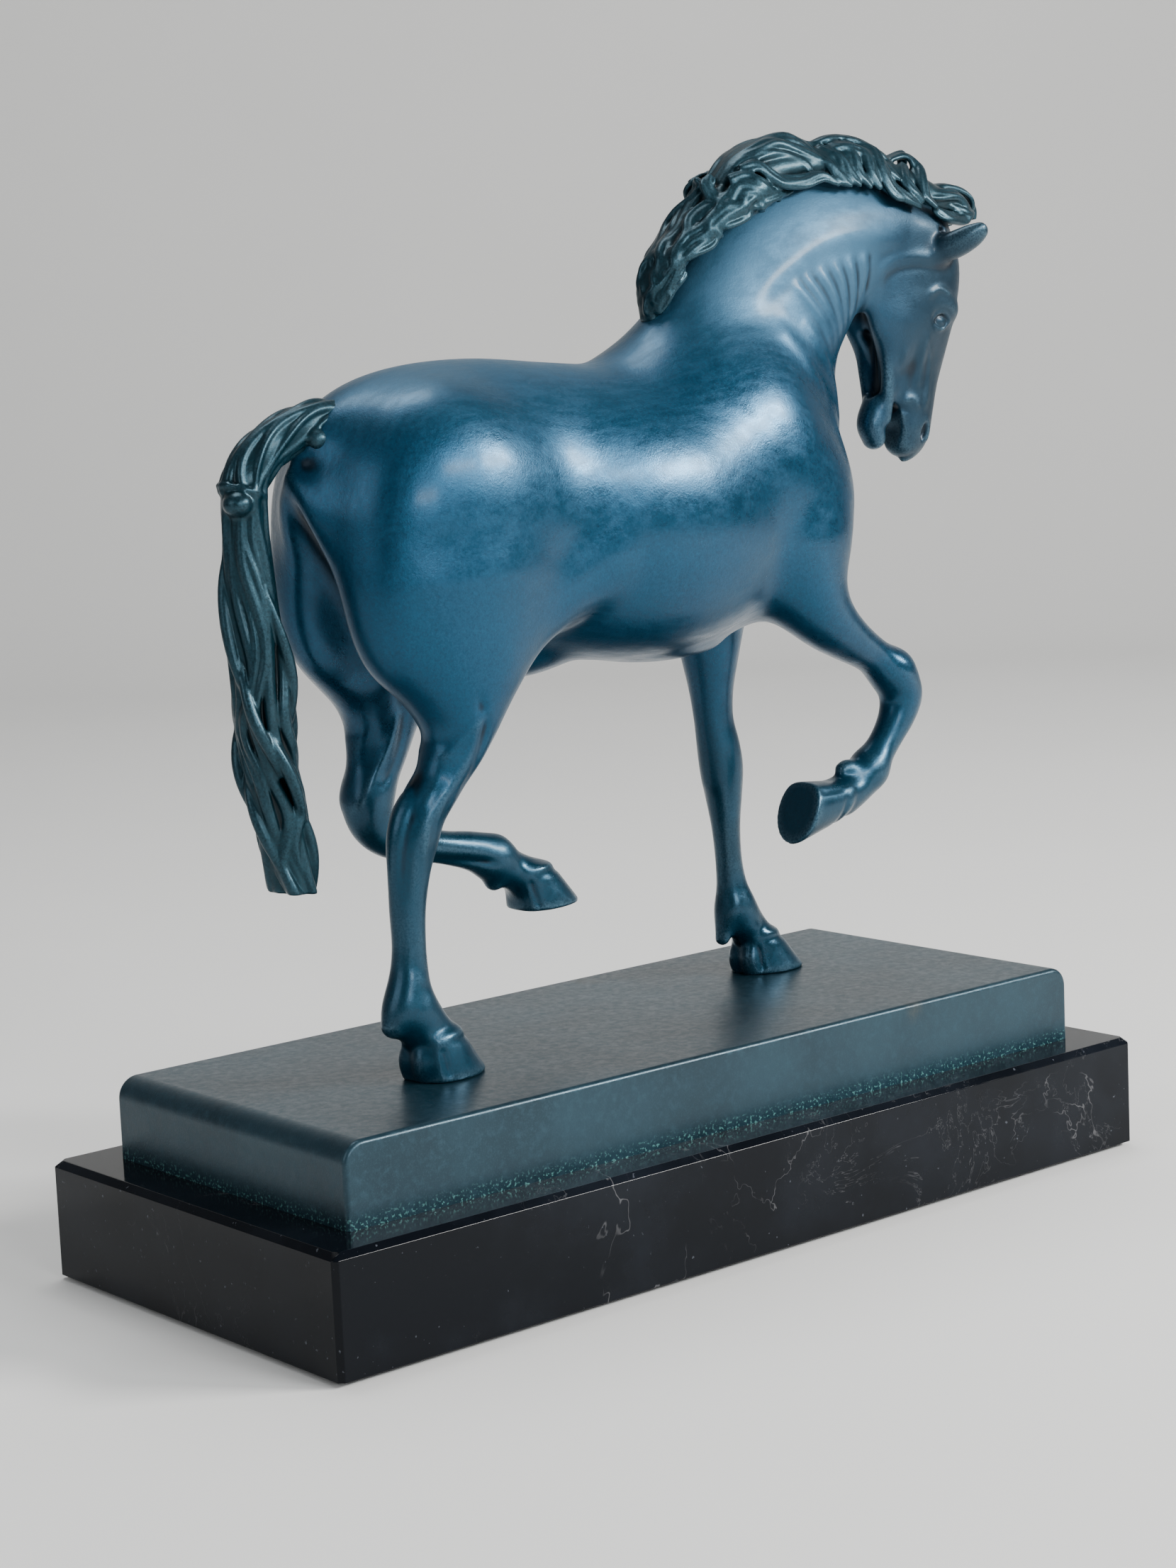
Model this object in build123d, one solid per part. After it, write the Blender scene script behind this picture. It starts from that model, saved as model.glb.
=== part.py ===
from build123d import *
import os

# Driving dimensions, in millimetres.
# +X is the way the horse faces, +Y its left side, +Z up, origin under the middle of the base.

# Base
FELT_THICKNESS = 1.0
FELT_MARGIN = 2.0
MARBLE_LENGTH, MARBLE_WIDTH, MARBLE_THICKNESS = 225.0, 100.0, 24.5
MARBLE_TOP_CHAMFER = 2.0
MARBLE_CORNER_CHAMFER = 1.0
PLINTH_LENGTH, PLINTH_WIDTH, PLINTH_THICKNESS = 204.0, 80.0, 17.0
PLINTH_WALL = 3.5
PLINTH_END_RADIUS = 4.5
PLINTH_SIDE_RADIUS = 1.2

MARBLE_FOOT = FELT_THICKNESS
PLINTH_FOOT = MARBLE_FOOT + MARBLE_THICKNESS
PLINTH_TOP = PLINTH_FOOT + PLINTH_THICKNESS

# Bolts between the marble and the plinth
BOLT_SPACING = 130.0
BOLT_RADIUS = 3.0
BOLT_CLEARANCE = 0.5
BOLT_HEAD_FLATS, BOLT_HEAD_HEIGHT = 10.0, 4.0
BOLT_WASHER_RADIUS, BOLT_WASHER_THICKNESS = 7.0, 1.6
COUNTERBORE_RADIUS, COUNTERBORE_DEPTH = 8.5, 9.0
BOSS_RADIUS = 7.0
BOLT_ENGAGEMENT = 10.0
BOLT_END_GAP = 1.0
BOLT_HEAD_TOP = MARBLE_FOOT + COUNTERBORE_DEPTH - BOLT_WASHER_THICKNESS
BOLT_HEAD_FOOT = BOLT_HEAD_TOP - BOLT_HEAD_HEIGHT

# Studs between the standing hooves and the plinth
RIGHT_HIND_HOOF = (-55.5, -11.0)
LEFT_FORE_HOOF = (57.5, 13.0)
STUD_RADIUS = 2.0
STUD_IN_HOOF = 6.0
STUD_END_GAP = 0.2
STUD_CLEARANCE = 0.25
STUD_WASHER_RADIUS, STUD_WASHER_THICKNESS = 4.5, 1.0
STUD_NUT_FLATS, STUD_NUT_HEIGHT = 7.0, 3.2
STUD_TAIL = 1.5
STUD_WASHER_FOOT = PLINTH_TOP - PLINTH_WALL - STUD_WASHER_THICKNESS
STUD_NUT_FOOT = STUD_WASHER_FOOT - STUD_NUT_HEIGHT
STUD_FOOT = STUD_NUT_FOOT - STUD_TAIL
STUD_LENGTH = PLINTH_TOP + STUD_IN_HOOF - STUD_END_GAP - STUD_FOOT
STANDING_HOOVES = [RIGHT_HIND_HOOF, LEFT_FORE_HOOF]
HOOF_RADII = (9.0, 7.0)
HOOF_HEIGHT = 9.0

# Horse
BRONZE_WALL = 3.2
LOFT_STEPS = 3
LEG_SPREAD = 13.0
FIT_GAP = 0.05
SLEEVE_RADIUS, SLEEVE_BORE, SLEEVE_LENGTH = 7.0, 5.0, 16.0
HEAD_PIN_RADIUS, HEAD_PIN_LENGTH = 3.0, 18.0
DOWEL_RADIUS, DOWEL_LENGTH = 2.0, 12.0
TAIL_PIN_RADIUS, TAIL_PIN_LENGTH = 1.5, 10.0
PLUG_RADIUS = 2.5
PLUG_PLACES = [(-24.0, 0.0), (18.0, 0.0)]
PLUG_DRILL_LENGTH = 20.0
BELLY_HEIGHT = 125.0

# Joints between castings: a centre, the direction that the joined casting leaves in, and the
# ellipse of the joint's face, as (radius in the side view, radius across).
NECK_JOINT = ((57.0, 0.0, 187.5), (0.6, 0.0, 0.8), (24.0, 13.5))
HEAD_JOINT = ((83.0, 0.0, 203.0), (0.972, 0.0, -0.231), (19.0, 9.2))
TAIL_JOINT = ((-72.0, 0.0, 172.5), (-0.98, 0.0, -0.2), (6.0, 5.2))
RIGHT_HIND_JOINT = ((-46.0, -LEG_SPREAD, 121.0), (-0.1, 0.0, -1.0), (11.0, 9.6))
LEFT_HIND_JOINT = ((-46.0, LEG_SPREAD, 121.0), (-0.1, 0.0, -1.0), (11.0, 9.6))
LEFT_FORE_JOINT = ((44.0, LEG_SPREAD, 122.0), (-0.05, 0.0, -1.0), (8.0, 7.4))
RIGHT_FORE_JOINT = ((55.0, -14.0, 125.0), (0.8, 0.0, -0.6), (8.4, 7.6))
LEG_JOINTS = [RIGHT_HIND_JOINT, LEFT_HIND_JOINT, LEFT_FORE_JOINT, RIGHT_FORE_JOINT]


def curved(stations):
    """More stations between the given ones, on a Catmull-Rom curve, so that a loft stays smooth."""

    def at(p, q, r, s, t):
        return 0.5 * (
            2 * q + (r - p) * t + (2 * p - 5 * q + 4 * r - s) * t**2 + (3 * q - p - 3 * r + s) * t**3
        )

    first = [2 * a - b for a, b in zip(stations[0], stations[1])]
    final = [2 * a - b for a, b in zip(stations[-1], stations[-2])]
    padded = [first, *stations, final]
    rows = []
    for before, here, there, after in zip(padded, padded[1:], padded[2:], padded[3:]):
        for t in (i / LOFT_STEPS for i in range(LOFT_STEPS)):
            rows.append([at(p, q, r, s, t) for p, q, r, s in zip(before, here, there, after)])
    return rows + [list(stations[-1])]


def limb(stations, start=None, end=None):
    """Loft through ellipses. A station is (x, y, z, radius in the side view, radius across)."""
    stations = curved(stations)
    points = [Vector(*station[:3]) for station in stations]
    last = len(points) - 1
    rings = []
    for i, (x, y, z, deep, wide) in enumerate(stations):
        along = points[min(i + 1, last)] - points[max(i - 1, 0)]
        if i == 0 and start:
            along = Vector(*start)
        if i == last and end:
            along = Vector(*end)
        along = along.normalized()
        across = Vector(0, 1, 0) - along * along.Y
        rings.append(Plane(origin=points[i], x_dir=across, z_dir=along) * Ellipse(wide, deep))
    return loft(rings)


def up_to(stations, joint):
    """A limb that ends on a joint's face."""
    centre, direction, radii = joint
    return limb(stations + [centre + radii], end=direction)


def on_from(joint, stations, end=None):
    """A limb that starts on a joint's face."""
    centre, direction, radii = joint
    return limb([centre + radii] + stations, start=direction, end=end)


def thinner(stations, wall):
    """The same stations with every radius less by the wall."""
    return [(x, y, z, deep - wall, wide - wall) for x, y, z, deep, wide in stations]


def rod(joint, radius, length):
    """A cylinder centred on a joint, along its direction."""
    centre, direction, radii = joint
    return Plane(origin=centre, z_dir=direction) * Cylinder(radius, length)


# ---------------------------------------------------------------- castings of the horse

BARREL = [
    (-71, 0, 161, 9, 9),
    (-62, 0, 161, 20, 19),
    (-45, 0, 157.5, 27, 24.5),
    (-22, 0, 154, 29.5, 25),
    (2, 0, 151.5, 31, 26),
    (28, 0, 152, 31, 25),
    (50, 0, 154, 27.5, 20),
    (66, 0, 153.5, 18, 14),
    (75, 0, 153, 8, 7),
]
DOCK_ROOT = [(-58, 0, 173, 9, 8)]
NECK_ROOT = [(36, 0, 160, 28, 19)]
NECK = [(68, 0, 199, 20.5, 11)]
POLL = [(91, 0, 202, 15, 9), (97, 0, 204, 10, 8)]
FACE = [
    (97, 0, 213.5, 8, 7),
    (97.5, 0, 204, 12.5, 8.5),
    (98.5, 0, 192, 12.5, 8.5),
    (97.5, 0, 180, 10.2, 7),
    (95, 0, 169, 8.3, 6),
    (93.5, 0, 162, 7.0, 5.6),
    (92.8, 0, 159, 4.5, 3.8),
]


def haunch(side):
    """Croup, thigh and stifle, down to the hind leg's joint."""
    return [
        (-50, side * 9, 168, 15, 11),
        (-48, side * 12, 150, 20, 13.5),
        (-46, side * LEG_SPREAD, 134, 15.5, 12),
    ]


def shoulder(side):
    """Shoulder and upper arm, down to the fore leg's joint."""
    return [
        (46, side * 9, 170, 8, 6),
        (46, side * 11.5, 153, 14.5, 10.5),
    ]


RIGHT_HIND_LEG = [
    (-48.5, -LEG_SPREAD, 111, 8.4, 7.4),
    (-55, -12.5, 103, 6.4, 5.6),
    (-60.3, -12, 96, 6.9, 5.2),
    (-62.2, -11.5, 87, 5.4, 4.5),
    (-63, -11, 74, 4.0, 3.7),
    (-63.4, -11, 63, 4.6, 4.2),
    (-62.8, -11, 56, 6.2, 5.2),
    (-59.5, -11, 51, 5.6, 5.2),
]
LEFT_HIND_LEG = [
    (-49, LEG_SPREAD, 111, 8.2, 7.2),
    (-53, 13, 102, 6.2, 5.6),
    (-55.5, 13, 93.5, 6.0, 5.2),
    (-52, 13, 87.5, 5.2, 4.8),
    (-43, 13, 84.5, 4.1, 3.9),
    (-33, 13, 82.5, 3.7, 3.7),
    (-25, 13, 80.5, 4.8, 4.2),
    (-19, 13, 78, 5.4, 4.6),
    (-14, 13, 75.2, 5.2, 5.0),
]
LEFT_FORE_LEG = [
    (43.5, LEG_SPREAD, 110, 5.2, 5.2),
    (44, 13, 103, 4.8, 4.6),
    (45.3, 13, 93.5, 5.6, 5.0),
    (46.3, 13, 81, 4.0, 3.7),
    (47.2, 13, 70, 3.4, 3.4),
    (48.5, 13, 60, 5.0, 4.4),
    (52.5, 13, 52.5, 5.2, 4.9),
]
RIGHT_FORE_LEG = [
    (67, -14, 117, 5.6, 5.5),
    (74.5, -14, 112, 5.4, 5.1),
    (77, -14, 106, 5.4, 4.9),
    (74, -14, 99.5, 4.4, 4.2),
    (69, -14, 94, 4.4, 4.0),
    (64.5, -14, 90, 5.4, 4.7),
    (59.5, -14, 86.5, 5.0, 4.7),
    (54.5, -14, 84.5, 5.2, 5.0),
]
TAIL = [
    (-84.5, 0, 168, 5.6, 5.8),
    (-89, 0, 159, 5.2, 6.0),
    (-89, 0, 146, 5.6, 6.2),
    (-88, 0, 130, 6.2, 6.6),
    (-86.4, 0, 112, 6.2, 6.4),
    (-84.6, 0, 96, 5.4, 5.8),
    (-82.8, 0, 84, 4.6, 4.8),
    (-81.4, 0, 74.5, 4.0, 4.2),
]
CREST = [
    (16, 0, 186, 6, 4),
    (24, 0, 200, 8, 6),
    (36, 0, 214, 9, 7),
    (52, 0, 223, 9, 7.5),
    (70, 0, 225, 7.5, 7.5),
    (86, 0, 223, 7.2, 7.2),
    (100, 0, 218, 6.5, 7),
    (110, 0, 212, 5.5, 6),
    (117, 0, 208, 2.5, 3),
]
NECK_CORE = [(60.5, 0, 192, 18, 9), (67, 0, 197.5, 15.5, 7), (72, 0, 200, 13, 5.5)]


def standing_hoof(place):
    """A flared hoof with its sole on the plinth."""
    x, y = place
    toe, side = HOOF_RADII
    sole = Plane((x, y, PLINTH_TOP)) * Ellipse(toe, side)
    crown = Plane((x - 2.5, y, PLINTH_TOP + HOOF_HEIGHT)) * Ellipse(toe * 0.7, side * 0.75)
    return loft([sole, crown])


def raised_hoof(coronet, direction):
    """A hoof on a bent leg: the direction goes from its coronet to its sole."""
    crown = Plane(origin=coronet, z_dir=direction)
    return loft([crown * Ellipse(5.6, 5.8), crown.offset(HOOF_HEIGHT) * Ellipse(7.4, 7.8)])


def ear(side):
    """An ear laid back and out from the poll."""
    base = Plane(origin=(99, side * 5.5, 209), z_dir=(0.5, side * 0.8, 0.3))
    rings = [(0, 3.6, 2.4), (6, 3.6, 2.2), (13, 0.8, 0.6)]
    return loft([base.offset(out) * Ellipse(wide, deep) for out, wide, deep in rings])


def joint_bore(joint, radius, length):
    """The hole for a pin across a joint, a fit gap larger all round."""
    return rod(joint, radius + FIT_GAP, length + 2 * FIT_GAP)


def stud_hole(place):
    """The tapped hole in a standing hoof."""
    x, y = place
    return Pos(x, y, PLINTH_TOP + STUD_IN_HOOF / 2) * Cylinder(STUD_RADIUS, STUD_IN_HOOF)


def trunk_blank():
    """Barrel with the roots of the legs, neck and tail, solid."""
    trunk = limb(BARREL) + up_to(NECK_ROOT, NECK_JOINT)
    trunk += up_to(haunch(-1), RIGHT_HIND_JOINT)
    trunk += up_to(haunch(1), LEFT_HIND_JOINT)
    trunk += up_to(shoulder(1), LEFT_FORE_JOINT)
    trunk += up_to(shoulder(-1), RIGHT_FORE_JOINT)
    return trunk + up_to(DOCK_ROOT, TAIL_JOINT)


def trunk_shell():
    """The trunk round its core, bored for the pins, before the core-pin holes are drilled."""
    shell = trunk_blank() - limb(thinner(BARREL[1:-1], BRONZE_WALL))
    shell -= joint_bore(NECK_JOINT, SLEEVE_RADIUS, SLEEVE_LENGTH)
    shell -= joint_bore(TAIL_JOINT, TAIL_PIN_RADIUS, TAIL_PIN_LENGTH)
    for joint in LEG_JOINTS:
        shell -= joint_bore(joint, DOWEL_RADIUS, DOWEL_LENGTH)
    return shell


def plug_drill(radius):
    """Drills up through the belly, one at each core pin's place."""
    return [Pos(x, y, BELLY_HEIGHT) * Cylinder(radius, PLUG_DRILL_LENGTH) for x, y in PLUG_PLACES]


def trunk_casting(shell):
    for drill in plug_drill(PLUG_RADIUS):
        shell = shell - drill
    return shell


def core_plugs(shell):
    """Plugs that fill the core-pin holes flush with the trunk's skin."""
    return [shell & drill for drill in plug_drill(PLUG_RADIUS - FIT_GAP)]


def neck_casting():
    centre, direction, radii = HEAD_JOINT
    neck = on_from(NECK_JOINT, NECK + [centre + radii], end=direction) - limb(NECK_CORE)
    neck -= joint_bore(NECK_JOINT, SLEEVE_RADIUS, SLEEVE_LENGTH)
    return neck - joint_bore(HEAD_JOINT, HEAD_PIN_RADIUS, HEAD_PIN_LENGTH)


def head_casting():
    head = on_from(HEAD_JOINT, POLL) + limb(FACE) + ear(-1) + ear(1)
    return head - joint_bore(HEAD_JOINT, HEAD_PIN_RADIUS, HEAD_PIN_LENGTH)


def mane_casting(neck, head, trunk):
    """The crest, cut to sit on the neck, the poll and the withers."""
    return limb(CREST) - neck - head - trunk


def leg_casting(joint, stations, hoof, place=None):
    leg = on_from(joint, stations) + hoof - joint_bore(joint, DOWEL_RADIUS, DOWEL_LENGTH)
    return leg - stud_hole(place) if place else leg


def tail_casting(trunk):
    tail = on_from(TAIL_JOINT, TAIL) - trunk
    return tail - joint_bore(TAIL_JOINT, TAIL_PIN_RADIUS, TAIL_PIN_LENGTH)


# ---------------------------------------------------------------- pins inside the horse


def neck_joint_sleeve():
    return rod(NECK_JOINT, SLEEVE_RADIUS, SLEEVE_LENGTH) - rod(NECK_JOINT, SLEEVE_BORE, SLEEVE_LENGTH)


def head_joint_pin():
    return rod(HEAD_JOINT, HEAD_PIN_RADIUS, HEAD_PIN_LENGTH)


def leg_joint_dowels():
    return [rod(joint, DOWEL_RADIUS, DOWEL_LENGTH) for joint in LEG_JOINTS]


def tail_joint_pin():
    return rod(TAIL_JOINT, TAIL_PIN_RADIUS, TAIL_PIN_LENGTH)


# ---------------------------------------------------------------- base


def base_places():
    return [(-BOLT_SPACING / 2, 0), (BOLT_SPACING / 2, 0)]


def post(place, foot, radius, height):
    """An upright cylinder that stands at a height."""
    x, y = place
    return Pos(x, y, foot + height / 2) * Cylinder(radius, height)


def hexagon(place, foot, flats, height):
    """An upright hexagonal bar, as wide across its flats as given."""
    x, y = place
    return Pos(x, y, foot) * extrude(RegularPolygon(flats / 2, 6, major_radius=False), height)


def plinth_casting():
    """A tray turned over: a top, four walls, two bosses for the bolts, and holes for the studs."""
    block = Pos(0, 0, PLINTH_FOOT + PLINTH_THICKNESS / 2) * Box(PLINTH_LENGTH, PLINTH_WIDTH, PLINTH_THICKNESS)
    rim = block.edges().group_by(Axis.Z)[-1]
    block = fillet(rim.filter_by(Axis.Y), PLINTH_END_RADIUS)
    rim = block.edges().group_by(Axis.Z)[-1]
    block = fillet(rim.filter_by(Axis.X), PLINTH_SIDE_RADIUS)
    depth = PLINTH_THICKNESS - PLINTH_WALL
    hollow = Box(PLINTH_LENGTH - 2 * PLINTH_WALL, PLINTH_WIDTH - 2 * PLINTH_WALL, depth)
    plinth = block - Pos(0, 0, PLINTH_FOOT + depth / 2) * hollow
    for place in base_places():
        plinth += post(place, PLINTH_FOOT, BOSS_RADIUS, depth)
        plinth -= post(place, PLINTH_FOOT, BOLT_RADIUS, BOLT_ENGAGEMENT)
    for place in STANDING_HOOVES:
        plinth -= post(place, PLINTH_FOOT + depth, STUD_RADIUS + STUD_CLEARANCE, PLINTH_WALL)
    return plinth


def hoof_studs():
    return [post(place, STUD_FOOT, STUD_RADIUS, STUD_LENGTH) for place in STANDING_HOOVES]


def hoof_stud_washers():
    return [
        post(place, STUD_WASHER_FOOT, STUD_WASHER_RADIUS, STUD_WASHER_THICKNESS)
        - post(place, STUD_WASHER_FOOT, STUD_RADIUS + STUD_CLEARANCE, STUD_WASHER_THICKNESS)
        for place in STANDING_HOOVES
    ]


def hoof_stud_nuts():
    return [
        hexagon(place, STUD_NUT_FOOT, STUD_NUT_FLATS, STUD_NUT_HEIGHT)
        - post(place, STUD_NUT_FOOT, STUD_RADIUS + FIT_GAP, STUD_NUT_HEIGHT)
        for place in STANDING_HOOVES
    ]


def marble_base():
    """A slab with its top edge chamfered and its upright corners eased."""
    block = Pos(0, 0, MARBLE_FOOT + MARBLE_THICKNESS / 2) * Box(MARBLE_LENGTH, MARBLE_WIDTH, MARBLE_THICKNESS)
    eased = chamfer(block.edges().filter_by(Axis.Z), MARBLE_CORNER_CHAMFER)
    slab = chamfer(block.edges().group_by(Axis.Z)[-1], MARBLE_TOP_CHAMFER) & eased
    for place in base_places():
        slab -= post(place, MARBLE_FOOT, COUNTERBORE_RADIUS, COUNTERBORE_DEPTH)
        slab -= post(place, MARBLE_FOOT, BOLT_RADIUS + BOLT_CLEARANCE, MARBLE_THICKNESS)
    return slab


def base_bolts():
    """Hexagon-headed bolts, whose shanks reach most of the way up the bosses."""
    top = PLINTH_FOOT + BOLT_ENGAGEMENT - BOLT_END_GAP
    return [
        hexagon(place, BOLT_HEAD_FOOT, BOLT_HEAD_FLATS, BOLT_HEAD_HEIGHT)
        + post(place, BOLT_HEAD_TOP, BOLT_RADIUS - FIT_GAP, top - BOLT_HEAD_TOP)
        for place in base_places()
    ]


def base_washers():
    return [
        post(place, BOLT_HEAD_TOP, BOLT_WASHER_RADIUS, BOLT_WASHER_THICKNESS)
        - post(place, BOLT_HEAD_TOP, BOLT_RADIUS + BOLT_CLEARANCE, BOLT_WASHER_THICKNESS)
        for place in base_places()
    ]


def felt_pad():
    """A thin pad under the slab, a little smaller all round."""
    return Pos(0, 0, FELT_THICKNESS / 2) * Box(
        MARBLE_LENGTH - 2 * FELT_MARGIN, MARBLE_WIDTH - 2 * FELT_MARGIN, FELT_THICKNESS
    )


# ---------------------------------------------------------------- the assembly


def build():
    shell = trunk_shell()
    neck = neck_casting()
    head = head_casting()
    return {
        "trunk_casting": trunk_casting(shell),
        "core_plugs": core_plugs(shell),
        "neck_casting": neck,
        "head_casting": head,
        "mane_casting": mane_casting(neck, head, shell),
        "tail_casting": tail_casting(shell),
        "right_hind_leg_casting": leg_casting(
            RIGHT_HIND_JOINT, RIGHT_HIND_LEG, standing_hoof(RIGHT_HIND_HOOF), RIGHT_HIND_HOOF
        ),
        "left_hind_leg_casting": leg_casting(
            LEFT_HIND_JOINT, LEFT_HIND_LEG, raised_hoof((-15, LEG_SPREAD, 76), (0.8, 0, -0.6))
        ),
        "right_fore_leg_casting": leg_casting(
            RIGHT_FORE_JOINT, RIGHT_FORE_LEG, raised_hoof((56, -14, 84.5), (-0.98, 0, -0.1))
        ),
        "left_fore_leg_casting": leg_casting(
            LEFT_FORE_JOINT, LEFT_FORE_LEG, standing_hoof(LEFT_FORE_HOOF), LEFT_FORE_HOOF
        ),
        "neck_joint_sleeve": neck_joint_sleeve(),
        "head_joint_pin": head_joint_pin(),
        "leg_joint_dowels": leg_joint_dowels(),
        "tail_joint_pin": tail_joint_pin(),
        "plinth_casting": plinth_casting(),
        "hoof_studs": hoof_studs(),
        "hoof_stud_washers": hoof_stud_washers(),
        "hoof_stud_nuts": hoof_stud_nuts(),
        "marble_base": marble_base(),
        "base_bolts": base_bolts(),
        "base_washers": base_washers(),
        "felt_pad": felt_pad(),
    }


def main():
    os.makedirs("parts", exist_ok=True)
    for name, part in build().items():
        if isinstance(part, list):
            part = Compound(children=part)
        export_step(part, f"parts/{name}.step")


if __name__ == "__main__":
    main()
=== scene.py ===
import math

import bmesh
import bpy
import numpy as np
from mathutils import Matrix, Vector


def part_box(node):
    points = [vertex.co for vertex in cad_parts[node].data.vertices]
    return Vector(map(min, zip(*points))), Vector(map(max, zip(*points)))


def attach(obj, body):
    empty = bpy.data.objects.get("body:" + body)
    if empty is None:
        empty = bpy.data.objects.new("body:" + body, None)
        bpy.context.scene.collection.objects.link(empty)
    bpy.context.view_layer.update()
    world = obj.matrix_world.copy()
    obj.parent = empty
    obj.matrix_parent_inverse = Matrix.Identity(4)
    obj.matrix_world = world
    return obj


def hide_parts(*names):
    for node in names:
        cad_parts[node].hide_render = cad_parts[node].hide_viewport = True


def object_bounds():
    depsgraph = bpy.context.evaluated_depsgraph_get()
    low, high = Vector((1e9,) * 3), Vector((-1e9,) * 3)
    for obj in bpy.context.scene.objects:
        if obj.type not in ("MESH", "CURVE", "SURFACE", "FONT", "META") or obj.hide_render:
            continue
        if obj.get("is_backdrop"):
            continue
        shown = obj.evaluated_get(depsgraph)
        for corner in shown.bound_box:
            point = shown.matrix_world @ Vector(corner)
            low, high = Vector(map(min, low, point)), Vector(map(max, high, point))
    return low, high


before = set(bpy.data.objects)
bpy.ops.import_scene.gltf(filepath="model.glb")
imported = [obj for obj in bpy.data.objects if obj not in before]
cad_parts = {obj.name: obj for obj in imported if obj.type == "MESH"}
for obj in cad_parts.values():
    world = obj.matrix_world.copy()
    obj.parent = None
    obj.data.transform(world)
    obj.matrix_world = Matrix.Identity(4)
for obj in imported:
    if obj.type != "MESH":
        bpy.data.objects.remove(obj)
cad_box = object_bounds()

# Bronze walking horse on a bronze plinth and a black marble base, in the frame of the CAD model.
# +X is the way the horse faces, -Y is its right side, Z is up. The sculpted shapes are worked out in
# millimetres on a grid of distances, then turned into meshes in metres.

import openvdb
from mathutils import Matrix, Vector

MM = 0.001


# ---------------------------------------------------------------- clay: shapes added and cut on a grid

FAR = 50.0  # mm: the distance where there is nothing yet
SMOOTHING = 0.045  # mm squared: how far blur() softens a surface, on any cell size
BLUR_STEP, LEAST_BLUR = 0.25, 0.02  # the most that one pass of blur() may do, and what isn't worth a pass
ASIDE = 60.0  # further to the side than anything on the horse
LINE_REACH = 2.6  # how many widths from its middle an embossed line is still worked out
LINE_ENDS = 5  # one over the share of a line in which it rises or fades
THINNEST = 0.15


def smooth_rows(rows, steps):
    """A Catmull-Rom curve through the rows of a station table, so that a few stations give a smooth limb."""
    rows = np.array(rows, float)
    padded = np.vstack([2 * rows[0] - rows[1], rows, 2 * rows[-1] - rows[-2]])
    out = []
    for a, b, c, d in zip(padded[:-3], padded[1:-2], padded[2:-1], padded[3:]):
        for t in np.arange(steps) / steps:
            straight = 2 * b + (c - a) * t
            curved = (2 * a - 5 * b + 4 * c - d) * t**2 + (3 * b - a - 3 * c + d) * t**3
            out.append(0.5 * (straight + curved))
    out.append(rows[-1])
    return np.array(out)


def soft_min(a, b, blend):
    """The smaller of two distances, rounded over where they differ by less than the blend."""
    if blend <= 0:
        return np.minimum(a, b)
    h = np.maximum(blend - np.abs(a - b), 0) / blend
    return np.minimum(a, b) - h * h * blend * 0.25


def soft_max(a, b, blend):
    return -soft_min(-a, -b, blend)


def unit(v):
    v = np.array(v, float)
    return v / max(np.linalg.norm(v), 1e-9)


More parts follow.
